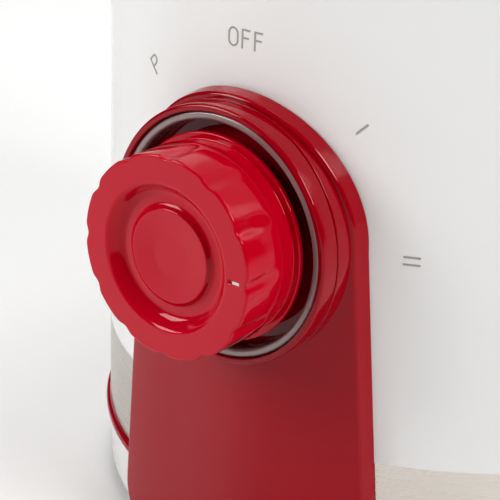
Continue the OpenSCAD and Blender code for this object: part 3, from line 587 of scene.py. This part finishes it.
def end_tree(tree, geometry, given, out):
    """Realises the instances and gives the result its material."""
    real = tree.nodes.new("GeometryNodeRealizeInstances")
    coat = tree.nodes.new("GeometryNodeSetMaterial")
    tree.links.new(geometry, real.inputs[0])
    tree.links.new(real.outputs[0], coat.inputs["Geometry"])
    tree.links.new(given.outputs["Material"], coat.inputs["Material"])
    tree.links.new(coat.outputs[0], out.inputs[0])


def grown(made, tree, values, body, slot, *nodes):
    """Runs a geometry node tree on an object and leaves its result as a plain mesh on a body."""
    step = made.modifiers.new("rule", "NODES")
    step.node_group = tree
    for item in tree.interface.items_tree:
        if item.in_out == "INPUT" and item.name in values:
            step[item.identifier] = values[item.name]
    mesh = plain_mesh(made)
    name = made.name
    bpy.data.objects.remove(made)
    settle(placed(name, mesh), body, slot, *nodes)


# The rule is worked in millimetres about the knob's own axis, with the pointer along +X
number = "NodeSocketFloat"
tree, given, out = nodes_tree("fluted_knob", [
    ("Flutes", "NodeSocketInt", 12), ("Depth", number, 0.7), ("Half Width", number, 6.5),
    ("Radius", number, knob_r / mm), ("Fade Start", number, 15.0), ("Fade End", number, 23.0),
    ("Dash Start", number, 18.5), ("Dash End", number, 22.0), ("Dash Half", number, 0.5),
    ("Dash Depth", number, 0.5), ("Face", number, knob_reach / mm), ("Material", "NodeSocketMaterial", None),
])
size_of = given.outputs
spot = tree.nodes.new("GeometryNodeInputPosition")
parts = tree.nodes.new("ShaderNodeSeparateXYZ")
tree.links.new(spot.outputs[0], parts.inputs[0])
px, py, pz = parts.outputs
angle = sum_of(tree, "DEGREES", sum_of(tree, "ARCTAN2", py, px))
half_pitch = sum_of(tree, "DIVIDE", 180.0, size_of["Flutes"])
wrapped = sum_of(tree, "WRAP", angle, half_pitch, sum_of(tree, "MULTIPLY", half_pitch, -1.0))
flute = fall(tree, sum_of(tree, "ABSOLUTE", wrapped), 0.0, size_of["Half Width"])
squares = sum_of(tree, "ADD", sum_of(tree, "MULTIPLY", px, px), sum_of(tree, "MULTIPLY", py, py))
radius = sum_of(tree, "SQRT", squares)
rim_start = sum_of(tree, "SUBTRACT", size_of["Radius"], 3.5)
rim_end = sum_of(tree, "SUBTRACT", size_of["Radius"], 0.4)
near_rim = ease(tree, radius, rim_start, rim_end)
along = ease(tree, pz, size_of["Fade Start"], size_of["Fade End"])
cut = sum_of(tree, "MULTIPLY", sum_of(tree, "MULTIPLY", flute, near_rim),
             sum_of(tree, "MULTIPLY", along, size_of["Depth"]))
scale = sum_of(tree, "SUBTRACT", 1.0, sum_of(tree, "DIVIDE", cut, sum_of(tree, "MAXIMUM", radius, 0.1)))
across = sum_of(tree, "ABSOLUTE", py)
inside = fall(tree, across, sum_of(tree, "SUBTRACT", size_of["Dash Half"], 0.12), size_of["Dash Half"])
starts = ease(tree, px, size_of["Dash Start"], sum_of(tree, "ADD", size_of["Dash Start"], 0.3))
ends = fall(tree, px, sum_of(tree, "SUBTRACT", size_of["Dash End"], 0.3), size_of["Dash End"])
facing = sum_of(tree, "GREATER_THAN", pz, sum_of(tree, "SUBTRACT", size_of["Face"], 0.3))
within = sum_of(tree, "MULTIPLY", inside, starts)
dash = sum_of(tree, "MULTIPLY", within, sum_of(tree, "MULTIPLY", ends, facing))
depth = sum_of(tree, "SUBTRACT", pz, sum_of(tree, "MULTIPLY", dash, size_of["Dash Depth"]))
merge = tree.nodes.new("ShaderNodeCombineXYZ")
feed(tree, merge.inputs["X"], sum_of(tree, "MULTIPLY", px, scale))
feed(tree, merge.inputs["Y"], sum_of(tree, "MULTIPLY", py, scale))
feed(tree, merge.inputs["Z"], depth)
shift = tree.nodes.new("GeometryNodeSetPosition")
tree.links.new(size_of["Geometry"], shift.inputs["Geometry"])
tree.links.new(merge.outputs[0], shift.inputs["Position"])
stand = tree.nodes.new("GeometryNodeTransform")
stand.inputs["Scale"].default_value = (mm, mm, mm)
stand.inputs["Rotation"].default_value = (math.pi / 2, 0, 0)
stand.inputs["Translation"].default_value = (0, front_y, dial_z)
tree.links.new(shift.outputs[0], stand.inputs["Geometry"])
end_tree(tree, stand.outputs[0], given, out)

knob_red = moulded("knob_red", (0.50, 0.0, 0.018), 0.06, ripple=0.006, grain=320, drift=0.02, shine=0.3,
                   spread=0.02)
# The blank has its points closest together where the dash is pressed in
even_turns = np.arange(0, 360, 1.2)
dash_turns = np.arange(-1.5, 1.5, 0.1) % 360
turns = sorted(set(np.round(np.concatenate([even_turns, dash_turns]), 3)))
outline = finer([(r / mm, z / mm) for r, z in knob_profile], 1.1)
front = [i for i, (r, z) in enumerate(outline) if z > knob_reach / mm - 0.05 and 17.6 < r < 23.9]
face_line = [(r, knob_reach / mm) for r in np.linspace(23.75, 18.2, 23)]
outline = outline[:front[0]] + face_line + outline[front[-1] + 1:]
count = len(outline)
vertices = []
for t in turns:
    vertices += [(r * math.cos(math.radians(t)), r * math.sin(math.radians(t)), z) for r, z in outline]
faces = []
for k in range(len(turns)):
    here = k * count
    there = ((k + 1) % len(turns)) * count
    faces += [(here + i, there + i, there + i + 1, here + i + 1) for i in range(count - 1)]
blank = piece("lobed_knob", vertices, faces, Matrix.Identity(4))
grown(blank, tree, {"Material": knob_red}, "dial", "knob_red", "knob")
# Painted highlight: a pale block set in the outer part of the dash, standing in for light on its edges
dash_highlight_paint = moulded("dash_highlight_paint", (0.72, 0.66, 0.64), 0.4, ripple=0.05, grain=1500, drift=0.05)
inlay_x = (19.8 * mm, 21.8 * mm)
inlay_y = (-0.36 * mm, 0.36 * mm)
inlay_z = (knob_reach - 0.5 * mm, knob_reach - 0.12 * mm)
vertices = [(x, y, z) for z in inlay_z for x in inlay_x for y in inlay_y]
faces = [(0, 1, 3, 2), (4, 6, 7, 5), (0, 4, 5, 1), (2, 3, 7, 6), (0, 2, 6, 4), (1, 5, 7, 3)]
pointer = piece("pointer_painted_highlight", vertices, faces, on_dial, dash_highlight_paint, "dial", "knob_red", "knob")
pointer.data.shade_flat()

# ---- Hood ----
# One clear moulding with a smoky tint: a round dome over the deck, with a chute that falls towards the
# bowl and a seat on top for the measuring cup. Where chute and dome meet, the mould is well rounded.
hood_low, hood_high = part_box("hood")
deck_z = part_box("top_trim")[1].z
hood_r = hood_high.x
hood_top = hood_high.z - 3 * mm
hood_wall = 2.2 * mm
dome_profile = rounded([
    (0, deck_z - 6 * mm, 0), (hood_r, deck_z - 6 * mm, 0), (hood_r, deck_z + 14 * mm, 18 * mm),
    (hood_r - 10 * mm, hood_top - 8 * mm, 22 * mm), (hood_r - 16.5 * mm, hood_top, 9 * mm), (0, hood_top, 0),
], steps=10)
dome = spun("dome", dome_profile, 96, upright)
lip_y = hood_low.y
chute_half = 42 * mm
chute_end = axis_y - lip_y + 6 * mm
chute_top = hood_top - 12 * mm
side_view = rounded([
    (0, deck_z + 24 * mm, 0), (hood_r * 0.82, deck_z + 24 * mm, 30 * mm), (chute_end, deck_z + 7.6 * mm, 0),
    (chute_end, deck_z + 52.4 * mm, 0), (hood_r * 0.73, chute_top, 25 * mm), (0, chute_top, 0),
], closed=True, steps=8)
n = len(side_view)
vertices = [(x, axis_y - u, z) for x in (-chute_half, chute_half) for u, z in side_view]
faces = [tuple(range(n)), tuple(range(2 * n - 1, n - 1, -1))]
faces += [(i, (i + 1) % n, n + (i + 1) % n, n + i) for i in range(n)]
chute = piece("chute", vertices, faces, Matrix.Identity(4))
chute.data.shade_flat()
edge = chute.modifiers.new("edge", "BEVEL")
edge.width = 7 * mm
edge.segments = 5
edge.limit_method = "ANGLE"
edge.angle_limit = math.radians(60)
hood_form = joined("hood_form", dome, [chute], "UNION")


def shaped(made, steps):
    """Runs modifiers (kind, values) in turn and leaves a plain mesh."""
    for kind, values in steps:
        step = made.modifiers.new(kind.lower(), kind)
        for key, value in values.items():
            setattr(step, key, value)
    mesh = plain_mesh(made)
    made.modifiers.clear()
    made.data = mesh


def cut_off(mesh, point, normal):
    """Removes what lies beyond a plane and leaves the edge open."""
    whole = [*mesh.verts, *mesh.edges, *mesh.faces]
    bmesh.ops.bisect_plane(mesh, geom=whole, plane_co=point, plane_no=normal, clear_outer=True)


shaped(hood_form, [
    ("REMESH", {"mode": "VOXEL", "voxel_size": 1.7 * mm}),
    ("SMOOTH", {"factor": 0.5, "iterations": 60}),
])
skin = bmesh.new()
skin.from_mesh(hood_form.data)
cut_off(skin, (0, 0, deck_z + 0.3 * mm), (0, 0, -1))
cut_off(skin, (0, lip_y + 0.3 * mm, 0), (0, -1, 0))
# The round opening under the cup: faces inside it go, and its edge is drawn to a true circle
cup_low, cup_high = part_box("measuring_cup")
cup_r = (cup_high.x - cup_low.x) / 2 - 7 * mm
seat_r = cup_r + 1.2 * mm
gone = []
for f in skin.faces:
    middle = f.calc_center_median()
    from_axis = (middle - Vector((0, axis_y, middle.z))).length
    if middle.z > hood_top - 4 * mm and from_axis < seat_r + 0.6 * mm:
        gone.append(f)
bmesh.ops.delete(skin, geom=gone, context="FACES")
for v in skin.verts:
    if v.is_boundary and v.co.z > hood_top - 6 * mm and v.co.y > axis_y - hood_r * 0.7:
        flat = Vector((v.co.x, v.co.y - axis_y, 0)).normalized() * (seat_r + 1 * mm)
        v.co.x = flat.x
        v.co.y = flat.y + axis_y
bmesh.ops.recalc_face_normals(skin, faces=skin.faces)
skin.to_mesh(hood_form.data)
skin.free()
hood_form.data.shade_smooth()
shaped(hood_form, [
    ("SOLIDIFY", {"thickness": hood_wall, "offset": -1.0, "use_rim": True, "use_quality_normals": True}),
])
seat_out = cup_r + 6 * mm
section = rounded([
    (seat_r, hood_top - 2.4 * mm, 0), (seat_out, hood_top - 1.2 * mm, 0.5 * mm),
    (seat_out, hood_high.z, 1.2 * mm), (seat_r, hood_high.z, 0.8 * mm),
], closed=True)
seat = piece("seat", *turned(section, 192), upright)
both = bmesh.new()
both.from_mesh(hood_form.data)
both.from_mesh(seat.data)
bpy.data.objects.remove(seat)
both.to_mesh(hood_form.data)
both.free()
hood_form.name = "clear_hood"
clear, tree, face = shader("clear_smoke")
face.inputs["Base Color"].default_value = (0.86, 0.87, 0.88, 1)
face.inputs["Transmission Weight"].default_value = 1.0
face.inputs["IOR"].default_value = 1.3
place = tree.nodes.new("ShaderNodeTexCoord").outputs["Object"]
tree.links.new(span(tree, noise(tree, place, 60.0), 0.02, 0.07), face.inputs["Roughness"])
raised(tree, face, noise(tree, place, 35.0), 0.05, 0.4 * mm)
hood_form.data.materials.clear()
hood_form.data.materials.append(clear)
hood_form.data.shade_smooth()
hood_form.data.set_sharp_from_angle(angle=math.radians(50))
settle(hood_form, "hood", "clear_hood", "hood")

# ---- Hood grips ----
# A gloss red pad on each side of the hood, hot-pressed on, with upright ribs so that a dry hand or a
# cloth can lift the hood. The ribs are one rib repeated along the pad.
grip_low, grip_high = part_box("hood_grips")
pad_out = hood_r + 4 * mm
pad_half = (grip_high.y - grip_low.y) / 2
pad_half_height = (grip_high.z - grip_low.z) / 2
pad_z = (grip_high.z + grip_low.z) / 2
pad_sections = 25
rib_count = 15
rib_pitch = 2.5 * mm
tree, given, out = nodes_tree("grip_ribs", [
    ("Ribs", "NodeSocketInt", rib_count), ("Pitch", number, rib_pitch),
    ("Rib", "NodeSocketVector", (1.6 * mm, 1.3 * mm, 8 * mm)), ("First", "NodeSocketVector", (0.0, 0.0, 0.0)),
    ("Material", "NodeSocketMaterial", None),
])
size_of = given.outputs


def node(kind, **inputs):
    """A node of the tree in hand; each value is a plain one or a socket."""
    made = tree.nodes.new(kind)
    for label, value in inputs.items():
        feed(tree, made.inputs[label.replace("_", " ")], value)
    return made


pitch = node("ShaderNodeCombineXYZ", Y=size_of["Pitch"]).outputs[0]
row = node("GeometryNodeMeshLine", Count=size_of["Ribs"], Start_Location=size_of["First"], Offset=pitch)
rib = node("GeometryNodeMeshUVSphere", Segments=16, Rings=10, Radius=0.5)
sized = node("GeometryNodeTransform", Geometry=rib.outputs["Mesh"], Scale=size_of["Rib"])
each = node("GeometryNodeInstanceOnPoints", Points=row.outputs["Mesh"], Instance=sized.outputs[0])
both = tree.nodes.new("GeometryNodeJoinGeometry")
tree.links.new(each.outputs[0], both.inputs[0])
tree.links.new(size_of["Geometry"], both.inputs[0])
end_tree(tree, both.outputs[0], given, out)
for word, way in (("right", 1), ("left", -1)):
    vertices = []
    faces = []
    for y in np.linspace(-pad_half, pad_half, pad_sections):
        inner = math.sqrt((hood_r - 0.1 * mm) ** 2 - y * y)
        outer = pad_out - 0.4 * mm * (y / pad_half) ** 2
        section = rounded([
            (inner, -pad_half_height, 0), (outer, -pad_half_height, 1.2 * mm),
            (outer, pad_half_height, 1.2 * mm), (inner, pad_half_height, 0),
        ], closed=True)
        n = len(section)
        vertices += [(way * x, axis_y + y, pad_z + z) for x, z in section]
    for k in range(pad_sections - 1):
        here = k * n
        there = (k + 1) * n
        faces += [(here + i, here + (i + 1) % n, there + (i + 1) % n, there + i) for i in range(n)]
    faces += [tuple(range(n)), tuple(range(len(vertices) - 1, len(vertices) - n - 1, -1))]
    pad = piece(word + "_hood_grip", vertices, faces, Matrix.Identity(4))
    first = (way * (pad_out - 0.1 * mm), axis_y - rib_pitch * (rib_count - 1) / 2, pad_z)
    values = {"Ribs": rib_count, "First": first, "Material": red_gloss}
    grown(pad, tree, values, "hood", "red_gloss", "hood_grips")

# ---- Measuring cup ----
# A gloss red cup that drops into the hood's seat: it measures the corn and melts butter while the
# machine runs. Its rim is rolled and its floor is rounded into the wall.
floor_z = cup_low.z
rim_z = cup_high.z
cup_wall = 2 * mm
cup_in = cup_r - cup_wall
rim_out = (cup_high.x - cup_low.x) / 2
rim_in = rim_out - 1.2 * mm
cup_profile = rounded([
    (0, floor_z, 0), (cup_r - 4 * mm, floor_z, 3 * mm), (cup_r, rim_z - 3 * mm, 0.6 * mm),
    (rim_in, rim_z - 2.3 * mm, 0.4 * mm), (rim_in, rim_z - 2.8 * mm, 0.1 * mm),
    (rim_out, rim_z - 2.8 * mm, 0.5 * mm), (rim_out, rim_z, 1.1 * mm), (cup_in, rim_z, 0.9 * mm),
    (cup_in - 4 * mm, floor_z + cup_wall, 2.6 * mm), (0, floor_z + cup_wall, 0),
])
shape = turned(cup_profile, 240, closed=False)
piece("red_measuring_cup", *shape, upright, red_gloss, "measuring_cup", "red_gloss", "measuring_cup")

# ---- Screws ----
# Zinc-plated pan-head screws with a cross recess hold the base, the panel, the deck and the motor.
# One screw is made and set down at each place where the frame has one.
zinc = moulded("zinc_plate", (0.60, 0.60, 0.57), 0.30, ripple=0.06, grain=1400, drift=0.08, metal=1.0)
tree, given, out = nodes_tree("pan_head_screws", [
    ("Head Radius", number, 3 * mm), ("Head Height", number, 2 * mm), ("Shank Radius", number, 1.5 * mm),
    ("Length", number, 14 * mm), ("Turn", "NodeSocketVector", (0.0, 0.0, 0.0)),
    ("Material", "NodeSocketMaterial", None),
])
size_of = given.outputs


def moved(geometry, **inputs):
    """The geometry moved or turned by a transform node."""
    return node("GeometryNodeTransform", Geometry=geometry, **inputs).outputs[0]


def at_height(value):
    """A vector that points up by value."""
    return node("ShaderNodeCombineXYZ", Z=value).outputs[0]


head_top = sum_of(tree, "MULTIPLY", size_of["Head Radius"], 0.8)
head = node("GeometryNodeMeshCone", Vertices=40, Radius_Top=head_top, Radius_Bottom=size_of["Head Radius"],
            Depth=size_of["Head Height"])
shank = node("GeometryNodeMeshCylinder", Vertices=24, Radius=size_of["Shank Radius"], Depth=size_of["Length"])
down = sum_of(tree, "MULTIPLY", size_of["Length"], -0.5)
shank = moved(shank.outputs["Mesh"], Translation=at_height(down))
recess_long = 3.6 * mm
recess_wide = 0.8 * mm
recess_deep = 2 * mm
recess_z = at_height(sum_of(tree, "ADD", size_of["Head Height"], 0.2 * mm))
cross = tree.nodes.new("GeometryNodeMeshBoolean")
cross.operation = "DIFFERENCE"
tree.links.new(head.outputs["Mesh"], cross.inputs["Mesh 1"])
for x, y in ((recess_long, recess_wide), (recess_wide, recess_long)):
    block = node("GeometryNodeMeshCube", Size=(x, y, recess_deep)).outputs["Mesh"]
    tree.links.new(moved(block, Translation=recess_z), cross.inputs["Mesh 2"])
whole = tree.nodes.new("GeometryNodeJoinGeometry")
tree.links.new(cross.outputs[0], whole.inputs[0])
tree.links.new(shank, whole.inputs[0])
faced = moved(whole.outputs[0], Rotation=size_of["Turn"])
each = node("GeometryNodeInstanceOnPoints", Points=size_of["Geometry"], Instance=faced)
end_tree(tree, each.outputs[0], given, out)


def screws(name, node_name, axis, sign, turn):
    """A set of screws whose heads look along an axis, +1 or -1; turn stands a screw that way."""
    spots = []
    for low_corner, high_corner in islands(node_name):
        middle = (low_corner + high_corner) / 2
        head_end = high_corner if sign > 0 else low_corner
        middle[axis] = head_end[axis] - sign * 1 * mm
        spots.append(tuple(middle))
        length = high_corner[axis] - low_corner[axis] - 1.2 * mm
    mesh = bpy.data.meshes.new(name)
    mesh.from_pydata(spots, [], [])
    values = {"Length": float(length), "Turn": turn, "Material": zinc}
    grown(placed(name, mesh), tree, values, "body", "zinc_steel", node_name)


screws("deck_screw_set", "deck_screws", 2, 1, (0.0, 0.0, 0.0))
screws("base_screw_set", "base_screws", 2, -1, (math.pi, 0.0, 0.0))
screws("panel_screw_set", "panel_screws", 1, 1, (-math.pi / 2, 0.0, 0.0))
screws("motor_screw_set", "motor_screws", 2, 1, (0.0, 0.0, 0.0))

# ---- Feet, gland, mounts and seal ----
# Moulded rubber: matt black feet pushed into the cover, the cord's gland in the back of the skirt,
# grommets that carry the motor, and a pale silicone ring under the chamber's flange.
rubber = moulded("black_rubber", (0.028, 0.028, 0.029), 0.62, ripple=0.25, grain=1700, drift=0.12, shine=0.35)
paint(rubber, "feet", "cord_gland", "motor_mounts")
silicone = moulded("silicone", (0.55, 0.53, 0.49), 0.5, ripple=0.12, grain=1200, drift=0.04, shine=0.4)
paint(silicone, "chamber_seal")

# ---- Popping chamber ----
# A bowl spun from aluminium sheet and anodised; the spinning leaves fine rings round the wall, and
# slanted louvres low down turn the hot air round the corn.
aluminium = moulded("spun_aluminium", (0.74, 0.745, 0.75), 0.28, ripple=0.12, grain=1.0, drift=0.04,
                    metal=1.0, stretch=(30, 30, 1600), spread=0.08)
paint(aluminium, "popping_chamber")

# ---- Heater ----
# A galvanised steel shell round a cross of mica wings. The resistance wire is wound as a small coil
# and led round the wings in rings; it is darkened by heat.
galvanised = moulded("galvanised_sheet", (0.52, 0.535, 0.55), 0.38, ripple=0.08, grain=90, drift=0.18,
                     metal=1.0, spread=0.12)
mica = moulded("mica_sheet", (0.52, 0.42, 0.28), 0.42, ripple=0.15, grain=480, drift=0.22, stretch=(1, 1, 6))
wire = moulded("heated_wire", (0.16, 0.13, 0.12), 0.5, ripple=0.1, grain=2200, drift=0.35, metal=0.9)
paint(galvanised, "heater_shell", "motor_can", "motor_bracket")
paint(mica, "heater_former")
coil_r = 1.3 * mm
wire_r = 0.28 * mm
turn_pitch = 2.2 * mm
tree, given, out = nodes_tree("wound_heater", [
    ("Ring Radius", number, 30 * mm), ("Coil Radius", number, coil_r), ("Wire Radius", number, wire_r),
    ("Turns", "NodeSocketInt", 60), ("Material", "NodeSocketMaterial", None),
])
size_of = given.outputs
line = node("GeometryNodeMeshLine", Count=sum_of(tree, "MULTIPLY", size_of["Turns"], 10.0))
path = node("GeometryNodeMeshToCurve", Mesh=line.outputs["Mesh"]).outputs[0]
along = tree.nodes.new("GeometryNodeSplineParameter").outputs["Factor"]
sweep = sum_of(tree, "MULTIPLY", along, 2 * math.pi)
twist = sum_of(tree, "MULTIPLY", sweep, size_of["Turns"])
outwards = sum_of(tree, "MULTIPLY", size_of["Coil Radius"], sum_of(tree, "COSINE", twist))
reach = sum_of(tree, "ADD", size_of["Ring Radius"], outwards)
spot = node("ShaderNodeCombineXYZ", X=sum_of(tree, "MULTIPLY", reach, sum_of(tree, "COSINE", sweep)),
            Y=sum_of(tree, "MULTIPLY", reach, sum_of(tree, "SINE", sweep)),
            Z=sum_of(tree, "MULTIPLY", size_of["Coil Radius"], sum_of(tree, "SINE", twist)))
wound = node("GeometryNodeSetPosition", Geometry=path, Position=spot.outputs[0])
section = node("GeometryNodeCurvePrimitiveCircle", Resolution=5, Radius=size_of["Wire Radius"])
strand = node("GeometryNodeCurveToMesh", Curve=wound.outputs[0], Profile_Curve=section.outputs["Curve"])
each = node("GeometryNodeInstanceOnPoints", Points=size_of["Geometry"], Instance=strand.outputs[0])
end_tree(tree, each.outputs[0], given, out)
# The CAD draws each ring of the coil as a closed ring; its outer radius and its level are kept
rings = []
for low_corner, high_corner in islands("heater_coil"):
    ring_level = float(low_corner[2] + high_corner[2]) / 2
    rings.append((round(float(high_corner[0]), 4), round(ring_level, 4)))
for word, outer in zip(("inner", "outer"), sorted({radius for radius, ring_level in rings})):
    levels = sorted({ring_level for radius, ring_level in rings if radius == outer})
    mesh = bpy.data.meshes.new(word)
    mesh.from_pydata([(0, axis_y, ring_level) for ring_level in levels], [], [])
    made = placed(word + "_heater_winding", mesh)
    ring_radius = outer - 1.6 * mm
    winds = round(2 * math.pi * ring_radius / turn_pitch)
    values = {"Ring Radius": ring_radius, "Turns": winds, "Material": wire}
    grown(made, tree, values, "body", "heater_wire", "heater_coil")

# ---- Thermostat, thermal fuse, leads and board ----
# The stock electrical pieces: plated thermostat, brass-ended fuse, a green board with its rectifiers,
# a nylon terminal block and red PVC leads.
brass = moulded("stamped_brass", (0.62, 0.44, 0.17), 0.3, ripple=0.06, grain=1300, drift=0.08, metal=1.0)
board = moulded("board_green", (0.025, 0.17, 0.07), 0.35, ripple=0.08, grain=900, drift=0.15)
nylon = moulded("ivory_nylon", (0.70, 0.66, 0.54), 0.42, ripple=0.06, grain=1200, drift=0.03)
pvc = moulded("red_lead_pvc", (0.42, 0.02, 0.02), 0.45, ripple=0.06, grain=1500, drift=0.05)
paint(zinc, "thermostat", "switch_nut", "fan_nut", "switch_shaft")
paint(brass, "thermal_fuse", "switch_contacts")
paint(board, "rectifier_board")
paint(nylon, "terminal_block", "switch_cam")
paint(pvc, "lead_set")

# ---- Fan and motor ----
# A glass-filled volute floor with the motor below it; the fan wheel and the end cap are black nylon, the
# armature is wound with enamelled copper, and the shaft runs in sintered bronze bearings.
heat_plastic = moulded("glass_filled_plastic", (0.11, 0.095, 0.08), 0.5, ripple=0.2, grain=1900, drift=0.12)
black_nylon = moulded("black_nylon", (0.022, 0.022, 0.023), 0.42, ripple=0.1, grain=1500, drift=0.1)
copper = moulded("enamelled_copper", (0.50, 0.20, 0.08), 0.28, ripple=0.25, grain=1.0, drift=0.12,
                 metal=0.9, stretch=(2400, 2400, 80))
bronze = moulded("sintered_bronze", (0.42, 0.28, 0.13), 0.45, ripple=0.2, grain=2500, drift=0.15, metal=1.0)
spring = moulded("spring_steel", (0.45, 0.45, 0.46), 0.22, ripple=0.04, grain=1600, drift=0.05, metal=1.0)
carbon = moulded("pressed_carbon", (0.03, 0.03, 0.032), 0.6, ripple=0.2, grain=2600, drift=0.2)
phenolic = moulded("brown_phenolic", (0.075, 0.035, 0.018), 0.33, ripple=0.08, grain=1100, drift=0.25)
paint(heat_plastic, "fan_housing")
paint(black_nylon, "fan_wheel", "motor_end_cap")
paint(copper, "armature", "commutator")
paint(bronze, "upper_bearing", "lower_bearing")
paint(spring, "motor_shaft", "knob_clip", "detent_ball", "detent_spring")
paint(carbon, "brushes")
paint(phenolic, "switch_body", "switch_cover")
